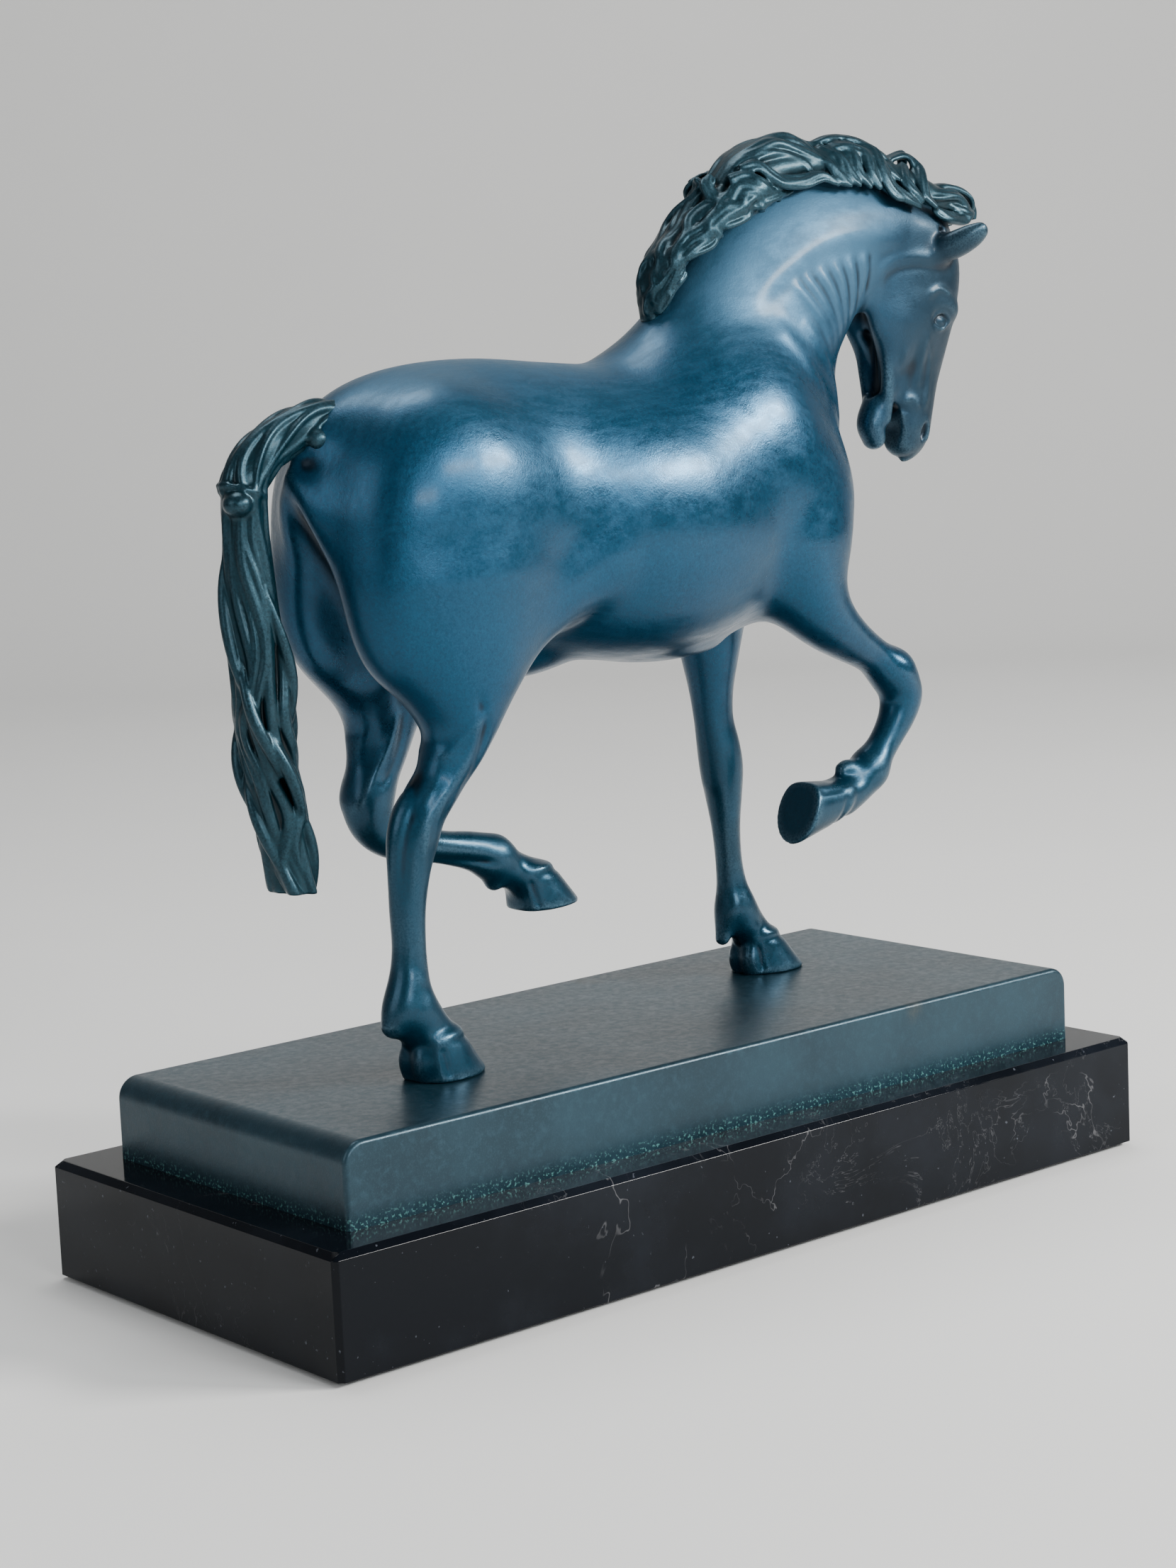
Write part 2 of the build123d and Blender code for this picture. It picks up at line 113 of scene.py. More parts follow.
class Clay:
    """Distance to a surface on a grid of cells, in millimetres: negative inside."""

    def __init__(self, low, high, cell):
        self.low = np.array(low, float)
        self.cell = cell
        self.size = np.ceil((np.array(high, float) - self.low) / cell).astype(int) + 1
        self.d = np.full(self.size, FAR, np.float32)

    def window(self, low, high):
        """The cells between two corners: their place in the grid, and their x, y and z."""
        first = np.clip(np.floor((np.array(low) - self.low) / self.cell).astype(int), 0, self.size)
        last = np.clip(np.ceil((np.array(high) - self.low) / self.cell).astype(int) + 1, 0, self.size)
        if (last <= first).any():
            return None
        axes = [(self.low[k] + self.cell * np.arange(first[k], last[k])).astype(np.float32) for k in range(3)]
        return tuple(map(slice, first, last)), *np.meshgrid(*axes, indexing="ij", sparse=True)

    def add(self, shape, blend=0.0):
        low, high, _ = shape
        self.join(shape, max(blend, 0.4 * (high - low).min()), lambda d, new: soft_min(d, new, blend))

    def cut(self, shape, blend=0.0):
        self.join(shape, blend, lambda d, new: soft_max(d, -new, blend))

    def join(self, shape, room, change):
        """Changes the cells that a shape reaches, with some room around it."""
        low, high, distance = shape
        room += 2 * self.cell
        found = self.window(low - room, high + room)
        if found:
            at, *grid = found
            self.d[at] = change(self.d[at], distance(*grid))

    def emboss(self, line, width, height, side=0, steps=6):
        """Raises (height above 0) or sinks the surface along a line. A line of (x, z) points marks every
        surface that lies on that side of the middle plane; a line of (x, y, z) points marks only what it
        passes near. The line fades out at both ends."""
        line = smooth_rows(line, steps)
        reach = LINE_REACH * width
        flat = line.shape[1] == 2
        low, high = line.min(0) - reach, line.max(0) + reach
        if flat:
            low = np.array([low[0], 0.0 if side > 0 else -ASIDE, low[1]])
            high = np.array([high[0], 0.0 if side < 0 else ASIDE, high[1]])
        found = self.window(low, high)
        if not found:
            return
        at, X, Y, Z = found
        nearest = None
        last = len(line) - 1
        for k in range(last):
            a, b = line[k], line[k + 1]
            along = b - a
            p = [q - start for q, start in zip((X, Z) if flat else (X, Y, Z), a)]
            t = np.clip(sum(q * s for q, s in zip(p, along)) / max(along @ along, 1e-9), 0, 1)
            gap2 = sum((q - t * s) ** 2 for q, s in zip(p, along))
            place = (k + t) / last
            fade = np.clip(np.minimum(place, 1 - place) * LINE_ENDS, 0, 1)
            mark = np.exp(-gap2 / width**2) * fade * fade * (3 - 2 * fade)
            nearest = mark if nearest is None else np.maximum(nearest, mark)
        self.d[at] = self.d[at] - np.float32(height) * nearest.astype(np.float32)

    def clip(self, point, direction):
        """Cuts away everything past a plane."""
        axes = [self.low[k] + self.cell * np.arange(self.size[k]) - point[k] for k in range(3)]
        X, Y, Z = np.meshgrid(*axes, indexing="ij", sparse=True)
        past = X * direction[0] + Y * direction[1] + Z * direction[2]
        self.d = np.maximum(self.d, past.astype(np.float32))

    def blur(self, smoothing=SMOOTHING):
        amount = smoothing / self.cell**2
        while amount > LEAST_BLUR:
            share = min(amount, BLUR_STEP)
            for axis in range(3):
                d = np.moveaxis(self.d, axis, 0)
                d[1:-1] = share * (d[:-2] + d[2:]) + (1 - 2 * share) * d[1:-1]
            amount -= share

    def quads(self):
        """The surface as points and four-sided faces."""
        band = 3 * self.cell
        grid = openvdb.FloatGrid(background=band)
        grid.copyFromArray(np.clip(self.d, -band, band).astype(np.float32))
        grid.transform = openvdb.createLinearTransform(voxelSize=self.cell)
        points, quads = grid.convertToQuads(0.0)
        return points + self.low, quads

    def corners(self, points, margin):
        """The eight cells around each point: the share of each, and its three indices."""
        spot = (points - self.low) / self.cell
        base = np.clip(np.floor(spot).astype(int), margin, self.size - 2 - margin)
        share = spot - base
        for corner in np.ndindex(2, 2, 2):
            yield np.where(corner, share, 1 - share).prod(axis=1), *(base + corner).T

    def normals(self, points):
        """The outward direction at each point, from how the distance changes there."""
        out = np.zeros((len(points), 3))
        for share, i, j, k in self.corners(points, 1):
            slope = (self.d[i + 1, j, k] - self.d[i - 1, j, k], self.d[i, j + 1, k] - self.d[i, j - 1, k],
                     self.d[i, j, k + 1] - self.d[i, j, k - 1])
            out += share[:, None] * np.stack(slope, 1)
        return out / np.maximum(np.linalg.norm(out, axis=1)[:, None], 1e-9)

    def sample(self, points):
        """The distance at each point."""
        return sum(share * self.d[i, j, k] for share, i, j, k in self.corners(points, 0))

    def relief(self, points, spread):
        """How far each point stands out of (above 0) or lies under its surroundings, in millimetres. It
        works on a coarser grid where the surroundings are wide."""
        skip = max(1, int(spread / (2 * self.cell)))
        coarse = Clay(self.low, self.low + self.cell, self.cell * skip)
        coarse.d = np.clip(self.d[::skip, ::skip, ::skip], -3 * spread, 3 * spread)
        coarse.size = np.array(coarse.d.shape)
        before = coarse.sample(points)
        coarse.d = coarse.d.copy()
        coarse.blur(spread**2 / 2)
        return coarse.sample(points) - before


def tube(stations, side=(0, 1, 0), steps=7):
    """A limb. A station is x, y, z, half depth behind or below, half width, and optionally half depth in
    front or above."""
    rows = smooth_rows([tuple(row) + (row[3],) * (6 - len(row)) for row in stations], steps)
    rows[:, 3:6] = np.maximum(rows[:, 3:6], THINNEST)
    side = np.array(side, float)
    reach = rows[:, 3:6].max(1)[:, None]
    low = (rows[:, :3] - reach).min(0)
    high = (rows[:, :3] + reach).max(0)

    def distance(X, Y, Z):
        out = np.full((X.size, Y.size, Z.size), FAR, np.float32)
        last = len(rows) - 2
        for k, (a, b) in enumerate(zip(rows[:-1], rows[1:])):
            # only the cells around this piece of the tube are worked out
            r = max(a[3:].max(), b[3:].max())
            pad = 1.05 * r + min(20.0, 1.5 + 1.6 * r)
            lo, hi = np.minimum(a[:3], b[:3]) - pad, np.maximum(a[:3], b[:3]) + pad
            box = tuple(slice(*np.searchsorted(g.ravel(), ends)) for g, ends in zip((X, Y, Z), zip(lo, hi)))
            if any(part.start >= part.stop for part in box):
                continue
            along = (b[:3] - a[:3]).astype(np.float32)
            length2 = max(float(along @ along), 1e-6)
            axis = unit(along).astype(np.float32)
            lateral = unit(side - axis * (side @ axis)).astype(np.float32)
            depth = np.cross(lateral, axis)
            x = X[box[0]] - np.float32(a[0])
            y = Y[:, box[1]] - np.float32(a[1])
            z = Z[:, :, box[2]] - np.float32(a[2])
            t = np.clip((x * along[0] + y * along[1] + z * along[2]) / np.float32(length2), 0, 1)
            x, y, z = x - t * along[0], y - t * along[1], z - t * along[2]
            # how far a cell lies from the middle line: to the side, in depth, and beyond an end
            w = x * lateral[0] + y * lateral[1] + z * lateral[2]
            n = x * depth[0] + y * depth[1] + z * depth[2]
            s = x * axis[0] + y * axis[1] + z * axis[2]
            rn = np.where(n > 0, a[3] + t * (b[3] - a[3]), a[5] + t * (b[5] - a[5]))
            rw = a[4] + t * (b[4] - a[4])
            least = np.minimum(rn, rw)
            across = np.sqrt((w / rw) ** 2 + (n / rn) ** 2) + np.float32(1e-6)
            reach = np.sqrt(w * w + n * n) / across + np.float32(1e-3)
            at_end = ((t <= 0) & (k == 0)) | ((t >= 1) & (k == last))
            q = np.sqrt(across**2 + (s / np.where(at_end, least, reach)) ** 2)
            m = np.sqrt(w * w + n * n + s * s)
            d = np.where(q < 0.05, -least, m * (1 - 1 / np.maximum(q, 1e-3)))
            out[box] = np.minimum(out[box], d.astype(np.float32))
        return out

    return low, high, distance


def lump(centre, radii, tilt=0.0):
    """An ellipsoid, its front tilted down by an angle in degrees."""
    centre, radii = np.array(centre, float), np.array(radii, float)
    p = np.radians(tilt)
    R = np.array([[np.cos(p), 0, np.sin(p)], [0, 1, 0], [-np.sin(p), 0, np.cos(p)]])
    reach = np.sqrt(((R * radii) ** 2).sum(1))

    def distance(X, Y, Z):
        x, y, z = X - centre[0], Y - centre[1], Z - centre[2]
        q = [x * R[0, k] + y * R[1, k] + z * R[2, k] for k in range(3)]
        k = np.sqrt(sum((q[i] / radii[i]) ** 2 for i in range(3)))
        g = np.sqrt(sum((q[i] / radii[i] ** 2) ** 2 for i in range(3)))
        return (k * (k - 1) / np.maximum(g, 1e-4)).astype(np.float32)

    return centre - reach, centre + reach, distance


def hoof_axes(forward, up):
    """The directions ahead of a hoof, to its side, and up its wall."""
    ahead = unit(forward)
    above = unit(np.array(up, float) - ahead * (ahead @ np.array(up, float)))
    return ahead, np.cross(above, ahead), above


def hoof(centre, forward, up, sole, crown, height, lean):
    """A hoof wall: a sole ellipse (half length, half width) at the centre, drawn in to the crown, which
    lies `lean` further back. The heel is cut square."""
    centre = np.array(centre, float)
    axes = hoof_axes(forward, up)
    reach = max(sole) + height

    def distance(X, Y, Z):
        x, y, z = X - centre[0], Y - centre[1], Z - centre[2]
        ahead, across, above = (x * v[0] + y * v[1] + z * v[2] for v in axes)
        t = np.clip(above / height, -0.2, 1.2)
        a = sole[0] + (crown[0] - sole[0]) * t
        b = sole[1] + (crown[1] - sole[1]) * t
        ahead = ahead + lean * t
        k = np.sqrt((ahead / a) ** 2 + (across / b) ** 2)
        wall = (k - 1) * np.minimum(a, b) * 0.95
        wall = soft_max(wall, -(ahead + a * 0.86), 2.0)
        wall = soft_max(wall, -above, 0.5)
        return soft_max(wall, above - height, 2.0).astype(np.float32)

    return centre - reach, centre + reach, distance


# ---------------------------------------------------------------- the horse, in millimetres

SIDES = (-1, 1)  # right, left
BODY_SMOOTHING = 0.45  # mm squared, before the head, the hooves and the fine lines are added


def trunk_shapes(clay):
    add = clay.add
    add(tube([
        (-67, 0, 164, 9, 8, 9.5), (-60, 0, 161, 20, 16, 19.6), (-49, 0, 158, 27, 22, 26.9),
        (-34, 0, 155, 29, 23.5, 31.1), (-16, 0, 153, 29.5, 24, 31.8), (4, 0, 151, 30, 25, 32.6),
        (24, 0, 151, 29, 24, 33.8), (40, 0, 152, 25, 21, 33), (51, 0, 153, 20, 15.5, 25),
        (60.5, 0, 157, 15, 10.5, 15),
    ]))
    for s in SIDES:
        add(lump((6, s * 9, 150), (32, 17.5, 25), tilt=4), 8)  # rib cage
        add(lump((-48, s * 12.5, 154), (21, 13.5, 25), tilt=-12), 9)  # haunch
        add(lump((-60, s * 10.5, 150), (12.5, 10.5, 26), tilt=8), 6)  # buttock
        add(lump((-55.5, s * 13, 132), (13, 9.5, 21), tilt=-30), 7)  # back of the thigh
        flank_fold = [(-42, s * 17, 128, 6, 4), (-30, s * 18.5, 136, 6, 4), (-16, s * 19, 144, 5, 4)]
        add(tube(flank_fold), 7)
        add(lump((43, s * 12.5, 156), (13, 10.5, 26), tilt=-28), 8)  # shoulder
        add(lump((51.5, s * 9.5, 154), (11.5, 9.5, 14), tilt=14), 7)  # point of the shoulder
        add(lump((55, s * 6.5, 150), (9, 7, 11), tilt=14), 5)  # breast
    add(lump((-25, 1, 125), (14, 7, 5.5), tilt=3), 5)  # sheath
    add(lump((18, 0, 123), (14, 9, 3.1)), 4)  # around the core plug


def neck_shapes(clay):
    clay.add(tube([
        (30, 0, 166, 20, 18, 27), (44, 0, 180, 20.6, 14, 28), (56.5, 0, 193.5, 18, 11.5, 26),
        (67, 0, 203, 15.6, 10.2, 21), (78.5, 0, 209, 13.5, 9.2, 14.5), (90, 0, 211, 13, 8.5, 9.5),
        (98, 0, 209, 12, 8, 8.6),
    ]), 13)
    cleft = [(-85, 0, 160, 5, 2), (-81, 0, 151, 8, 4.4), (-75, 0, 138, 11, 6), (-67, 0, 121, 15, 7.4)]
    clay.cut(tube(cleft), 4)


def head_shapes(clay):
    add, cut = clay.add, clay.cut
    # skull and face: x, y, z, behind, across, in front
    add(tube([
        (99, 0, 209, 12, 7.5, 10.6), (99.5, 0, 202, 13, 8.2, 13.3), (99, 0, 194, 12.5, 7.6, 12.3),
        (97.6, 0, 186, 9.6, 6.4, 11), (96.6, 0, 178, 7.6, 5.2, 9.2), (95.6, 0, 170, 6, 4.9, 8),
        (95, 0, 166, 5, 4.8, 7.4), (94.4, 0, 163.2, 4.2, 4.1, 5.4),
    ]), 4)
    add(tube([
        (90.5, 0, 190, 6, 5.4), (90.5, 0, 182, 5, 4.7), (91, 0, 175, 4.4, 4.2), (91.5, 0, 171, 3.6, 3.8),
    ]), 2)
    for s in SIDES:
        add(lump((89.8, s * 4.2, 193.5), (9.2, 3.3, 10.4)), 5)  # cheek
        add(lump((103.2, s * 5.2, 193.6), (4.6, 2.6, 2.4), tilt=25), 3.5)  # brow
        add(tube([
            (87, s * 4.2, 189, 3, 1.6), (86.8, s * 3.8, 181, 2, 1.5), (87, s * 3, 174, 1.8, 1.5),
            (86.6, s * 1.8, 168.5, 2, 1.8),
        ]), 1.6)  # jaw bone
    add(tube([(85.6, 0, 172, 2.4, 3), (84.4, 0, 167.4, 3.2, 3.4), (85.2, 0, 163.8, 2.5, 2.9)]), 1.2)  # chin
    # the hollow under the jaw, and the mouth
    cut(tube([(83.6, 0, 187, 3, 1.5), (83.8, 0, 180, 2.8, 1.4), (84.2, 0, 174.4, 1.8, 1.1)]), 1.2)
    cut(tube([
        (89.4, 0, 168.2, 0.9, 5), (89.8, 0, 165.4, 1.6, 6), (89.2, 0, 161.4, 1.3, 6), (88.2, 0, 156, 1.8, 6),
    ]), 0.5)


def limb_shapes(clay):
    """Each limb is a chain of stations from the body down: x, y, z, behind, across, in front."""
    add = clay.add
    # right hind, standing
    add(tube([
        (-47, -14.5, 142, 18, 11.5, 17), (-47, -14.5, 130, 14, 9.8, 12.6), (-47.5, -14, 120, 10.5, 8.2, 8.4),
        (-49.5, -13.4, 111, 7.6, 6.6, 6), (-54, -12.8, 103, 5.6, 5.4, 4.6), (-59, -12.2, 97.2, 6, 4.9, 5.2),
        (-61.2, -11.8, 92.5, 6, 4.8, 5.8), (-62.3, -11.5, 86, 5.2, 4.2, 4.6), (-62.8, -11, 78, 4.2, 3.6, 3.9),
        (-63, -11, 70, 3.8, 3.4, 3.7), (-63.2, -11, 63, 4.6, 3.9, 4.2), (-63.2, -11, 57.5, 5.6, 4.8, 5),
        (-62, -11, 54.5, 5.4, 4.8, 5),
    ]), 6)
    add(tube([
        (-62.5, -11, 57, 4.6, 4.4, 4.8), (-58.8, -11, 52.2, 4.8, 4.6, 4.6), (-56.5, -11, 48.5, 5.4, 5.2),
    ]), 2)
    # left fore, standing
    add(tube([
        (45, 13.5, 140, 12, 8.5, 11), (44.3, 13.5, 128, 9.5, 8, 9), (43.8, 13.2, 119, 7.2, 6.8, 7),
        (43.6, 13, 110, 5.3, 5.2, 5.2), (44, 13, 102.5, 4.7, 4.5, 4.7), (45, 13, 96, 4.9, 4.9, 5.4),
        (45.6, 13, 91, 4.9, 4.9, 5.6), (46, 13, 86, 4.5, 4.4, 4.8), (46.5, 13, 78, 3.6, 3.4, 3.7),
        (47, 13, 70, 3.3, 3.1, 3.4), (47.7, 13, 64, 3.8, 3.4, 3.8), (48.5, 13, 59, 4.9, 4.2, 4.6),
        (49.5, 13, 55.5, 4.8, 4.3, 4.6),
    ]), 6)
    add(tube([(48.8, 13, 58.5, 4.2, 4, 4.4), (52.6, 13, 53.2, 4.4, 4.2, 4.4), (55.2, 13, 49, 5, 4.9, 5)]), 2)
    # left hind, raised
    add(tube([
        (-47, 14.5, 142, 18, 11.5, 17), (-47.5, 14.5, 130, 13.4, 9.8, 12.6), (-48.5, 14, 120, 8.4, 8.2, 10.4),
        (-50.5, 13.4, 111, 6.2, 6.6, 8.6), (-53, 13, 103, 4.8, 5.2, 7), (-54.8, 13, 97, 3.8, 4.6, 5.8),
    ]), 6)
    add(tube([
        (-54.6, 13, 97.5, 3.8, 4.4, 5.2), (-54.2, 13, 92.4, 4.4, 4.6, 5.2), (-50, 13, 88.6, 4.6, 4.3, 4.2),
        (-43, 13, 86, 4.2, 3.7, 3.8), (-35, 13, 84, 3.9, 3.4, 3.7), (-28, 13, 82.4, 4.4, 3.8, 4.2),
        (-21.6, 13, 80, 5, 4.4, 5.2),
    ]), 4)
    add(tube([
        (-22, 13, 79.6, 4.6, 4.2, 4.6), (-17, 13, 76.6, 4.4, 4.2, 4.4), (-12, 13, 74, 4.8, 4.8, 4.6),
    ]), 2)
    # right fore, raised
    add(tube([
        (45, -14, 142, 13, 9, 10.5), (47.5, -14.5, 133, 9.8, 8.6, 8.4), (53, -14.5, 126.7, 7.8, 7.4, 6.2),
        (60, -14.3, 121.5, 6, 6, 4.7), (67.5, -14, 117, 4.8, 4.9, 3.9), (74.2, -14, 112.3, 4.8, 4.9, 4.4),
    ]), 7)
    add(tube([
        (74.5, -14, 112, 4.6, 4.8, 4.4), (77.2, -14, 107, 4.9, 4.9, 5.2), (76, -14, 102, 4.5, 4.3, 4.2),
        (73, -14, 97.6, 4.1, 3.7, 3.5), (69.6, -14, 93.8, 4.1, 3.7, 3.5), (66, -14, 90.4, 4.9, 4.3, 4.1),
    ]), 4)
    add(tube([
        (66.5, -14, 90.4, 4.6, 4.2, 4.6), (62, -14, 87.2, 4.2, 4.2, 4.2), (57, -14, 85.4, 4.6, 4.6, 4.8),
    ]), 2)


# Centre of the sole, direction to the toe, direction away from the ground, half length and half width of
# the sole and of the crown, height, and how far the crown lies behind the sole's centre.
HOOVES = {
    "right_hind": ((-55.5, -11, 42.5), (1, 0.25, 0), (0, 0, 1), (10, 7.4), (5.8, 5.2), 10, 3.5),
    "left_fore": ((58, 13, 42.5), (1, -0.1, 0), (0, 0, 1), (9.5, 7.2), (5.2, 5), 10, 3.5),
    "left_hind": ((-8.5, 13, 67.6), (1, 0, 0.03), (-0.05, 0, 1), (9, 6.8), (5.4, 5), 10, 4),
    "right_fore": ((43.2, -14, 83.9), (-0.37, 0, -1), (0.95, 0, -0.25), (7.9, 6.4), (5.2, 4.9), 12, 5.6),
}


def hoof_point(centre, forward, up, sole, crown, height, lean, angle, level):
    """A point on a hoof's wall: angle 0 is the toe, level 0 the sole and 1 the crown."""
    f, s, u = hoof_axes(forward, up)
    half_length = sole[0] + (crown[0] - sole[0]) * level
    half_width = sole[1] + (crown[1] - sole[1]) * level
    ahead = np.cos(angle) * half_length - lean * level
    return np.array(centre) + f * ahead + s * np.sin(angle) * half_width + u * height * level


def hoof_shapes(clay):
    """The four hooves, the tufts behind the fetlocks and the heel bulbs."""
    for spec in HOOVES.values():
        clay.add(hoof(*spec), 1.6)
        round_front = np.radians([-118, -90, -60, -30, 0, 30, 60, 90, 118])
        clay.emboss([hoof_point(*spec, a, 0.8) for a in round_front], 0.7, -0.4, steps=3)  # coronet groove
        clay.emboss([hoof_point(*spec, a, 0.97) for a in round_front], 1, 0.2, steps=3)  # coronet roll
        for a in (-125, 125):  # edge of the wall at the heel
            a = math.radians(a)
            clay.emboss([hoof_point(*spec, a, t) for t in (0.02, 0.4, 0.75)], 0.6, -0.5, steps=3)
    tufts = (
        ((-64, -11, 63, 2.4, 3), (-66.4, -11, 58, 3, 3.2), (-68, -11, 54.6, 2.4, 2.6)),
        ((47.4, 13, 60, 1.8, 2.4), (45.4, 13, 56, 2, 2.4), (44.2, 13, 51.6, 1.5, 1.8)),
        ((62, -14, 89.6, 1.8, 2.4), (59.6, -14, 91.4, 2, 2.2), (57.6, -14, 91.6, 1.4, 1.6)),
        ((-19, 13, 80, 1.8, 2.4), (-20.6, 13, 77, 2, 2.4), (-22, 13, 74.2, 1.4, 1.8)),
    )
    for path in tufts:
        clay.add(tube(path), 2.2)
    for x, y, z in ((-63.2, -13.4, 46.4), (-63.2, -8.8, 46.4), (50.4, 10.9, 45.8), (50.4, 15.1, 45.8)):
        clay.add(lump((x, y, z), (1.6, 1.7, 2.8)), 2.2)  # heel bulbs


# Lines raised (height above 0) or sunk in the skin: their (x, z) points, width and height.
THROAT_FOLDS = (  # from the side of the neck down to the windpipe
    ((50, 200), (54, 196), (59, 190.5), (63, 184.5)),
    ((53.5, 201.5), (57.5, 197), (62, 191), (65.5, 185)),
    ((58.5, 203), (62, 198), (65, 192), (67.5, 186.5)),
    ((63.5, 204), (66, 199), (67.8, 193), (69.5, 187.5)),
    ((68.5, 205), (70, 200), (71, 195), (71.5, 190)),
    ((74, 205.5), (74.6, 201), (74.4, 196)),
)
CREST_EDGE = ((96, 206.6), (84, 208.6), (72.5, 209.6), (62, 208.2), (52, 204.2), (44, 200), (38.5, 194))
FACE_LINES = (
    # muscle edges low on the neck
    (((50, 193), (58, 184), (65, 174), (69, 165)), 1.8, 0.5),
    (((42, 192), (50, 183), (58, 172)), 2.2, 0.35),
    # brow fold under the ear, and the cheek
    (((79.5, 198.4), (81.6, 201.8), (85, 203.6), (91, 204.4), (97, 204), (104, 202.8)), 1.7, 0.42),
    (((82, 198), (84.5, 201), (90, 202.4), (97, 202), (104, 200.8)), 1.2, -0.15),
    (((95.5, 195.6), (99.5, 197.2), (104.5, 195.4)), 0.9, 0.4),
    (((93.5, 187), (93, 180), (92.5, 173)), 1.2, -0.16),
    (((96.4, 188), (95.8, 181), (95, 174)), 1.1, 0.25),
    (((98.6, 187), (98, 180), (97, 173)), 1, -0.12),
    (((89.5, 186), (89.4, 179), (89, 172)), 1.3, 0.25),
)
MOUTH_AND_LIMB_LINES = (
    # the line of the lips and the corner of the mouth
    (((88.4, 171.4), (90.4, 170.6), (92.4, 169.6)), 0.7, -0.5),
    (((91, 172), (93.4, 172.4), (95.6, 170.6)), 1, 0.35),
    (((97.6, 186), (98.6, 180), (98.4, 174), (97.2, 169)), 0.9, 0.3),
    # veins and edges of muscles on the hind limbs
    (((-52, 122), (-49, 113), (-50, 105), (-55, 98)), 1.2, -0.45),
    (((-56, 112), (-59, 104), (-63.5, 97)), 1.1, 0.4),
    (((-49, 118), (-52, 108), (-57, 100), (-60, 93)), 1, 0.35),
)
SINEWS = (  # with the side: the right hock, the left hind cannon and the left fore cannon
    (((-48.5, 117), (-53, 112), (-57, 106.5)), 1.5, 0.5, -1),
    (((-58, 109), (-62, 104.6), (-66, 100), (-68.6, 94), (-68.8, 86), (-68, 72)), 1.1, 0.6, -1),
    (((-57.6, 108), (-60.4, 103.5), (-62.8, 98.5), (-64.8, 93.5), (-65.6, 87), (-65.4, 76)), 1.1, -0.7, -1),
    (((-56.8, 103), (-58.8, 99), (-61.4, 94.5), (-62, 86)), 1.1, 0.5, -1),
    (((-50, 85), (-39, 82.4), (-30, 80.8), (-22, 79)), 0.9, -0.7, 1),
    (((41.5, 88), (42.6, 78), (43.4, 67)), 0.8, -0.45, 1),
)


def skin_and_face(clay):
    """Skin folds, veins and muscle edges, the eyes and the nostrils."""
    def cord(points, radius, blend):
        clay.add(tube([(*p, radius) for p in points], steps=3), blend)

    for s in SIDES:
        # each fold and the crest's edge, with a hollow beside it
        for line in THROAT_FOLDS:
            clay.emboss(line, 1.5, 0.45, s)
            clay.emboss([(x + 2, z + 0.5) for x, z in line], 1.2, -0.3, s)
        clay.emboss(CREST_EDGE, 2.6, 0.28, s)
        clay.emboss([(x, z - 4) for x, z in CREST_EDGE], 2.6, -0.14, s)
        for line, width, height in FACE_LINES:
            clay.emboss(line, width, height, s)
        # the eye: a hollow, a ball in it, and two lids
        clay.cut(lump((101, s * 8.1, 190), (3.4, 1.7, 2.3), tilt=10), 1)
        clay.add(lump((101, s * 5.9, 189.9), (2.3, 1.6, 1.5), tilt=10), 0.1)
        cord([(97.8, s * 7, 190.2), (99.2, s * 7.5, 191.6), (101.2, s * 7.6, 192), (103.2, s * 7.2, 191),
              (104.2, s * 6.6, 189.7)], 0.55, 0.4)
        cord([(98, s * 6.9, 190), (99.8, s * 7.3, 188.4), (101.8, s * 7.2, 188), (104, s * 6.6, 189.4)],
             0.4, 0.4)
        # the nostril and its rim
        nostril = [(98, s * 4.4, 166, 0.8), (97.6, s * 4.2, 164.5, 1.15), (97.4, s * 4, 163.2, 0.7)]
        clay.cut(tube(nostril, steps=3), 0.3)
        cord([(96.2, s * 4, 166.6), (98.2, s * 4, 167.6), (99.6, s * 3.6, 165.6), (99, s * 3.4, 163)],
             0.5, 0.8)
        for line, width, height in MOUTH_AND_LIMB_LINES:
            clay.emboss(line, width, height, s)
    for line, width, height, s in SINEWS:
        clay.emboss(line, width, height, s)


def ears(clay):
    """Short blunt ears laid out sideways, with a groove along the upper face."""
    for s in SIDES:
        path = [
            (98, s * 5, 206, 2.8, 3), (100.4, s * 8, 206.2, 2.8, 3.4), (102.8, s * 10.8, 207.2, 2.9, 3.6),
            (105, s * 13.4, 208.8, 2.5, 3.2), (106.4, s * 15, 210, 1.8, 2.2),
        ]
        clay.add(tube(path, side=(1, 0, -0.3)), 1.6)
        clay.cut(tube([
            (101, s * 8, 210.4, 0.9, 1), (103.6, s * 11, 211.2, 1, 1.3), (105.6, s * 13.8, 212.1, 0.8, 1),
        ], side=(1, 0, -0.3)), 0.6)


# ---------------------------------------------------------------- hair


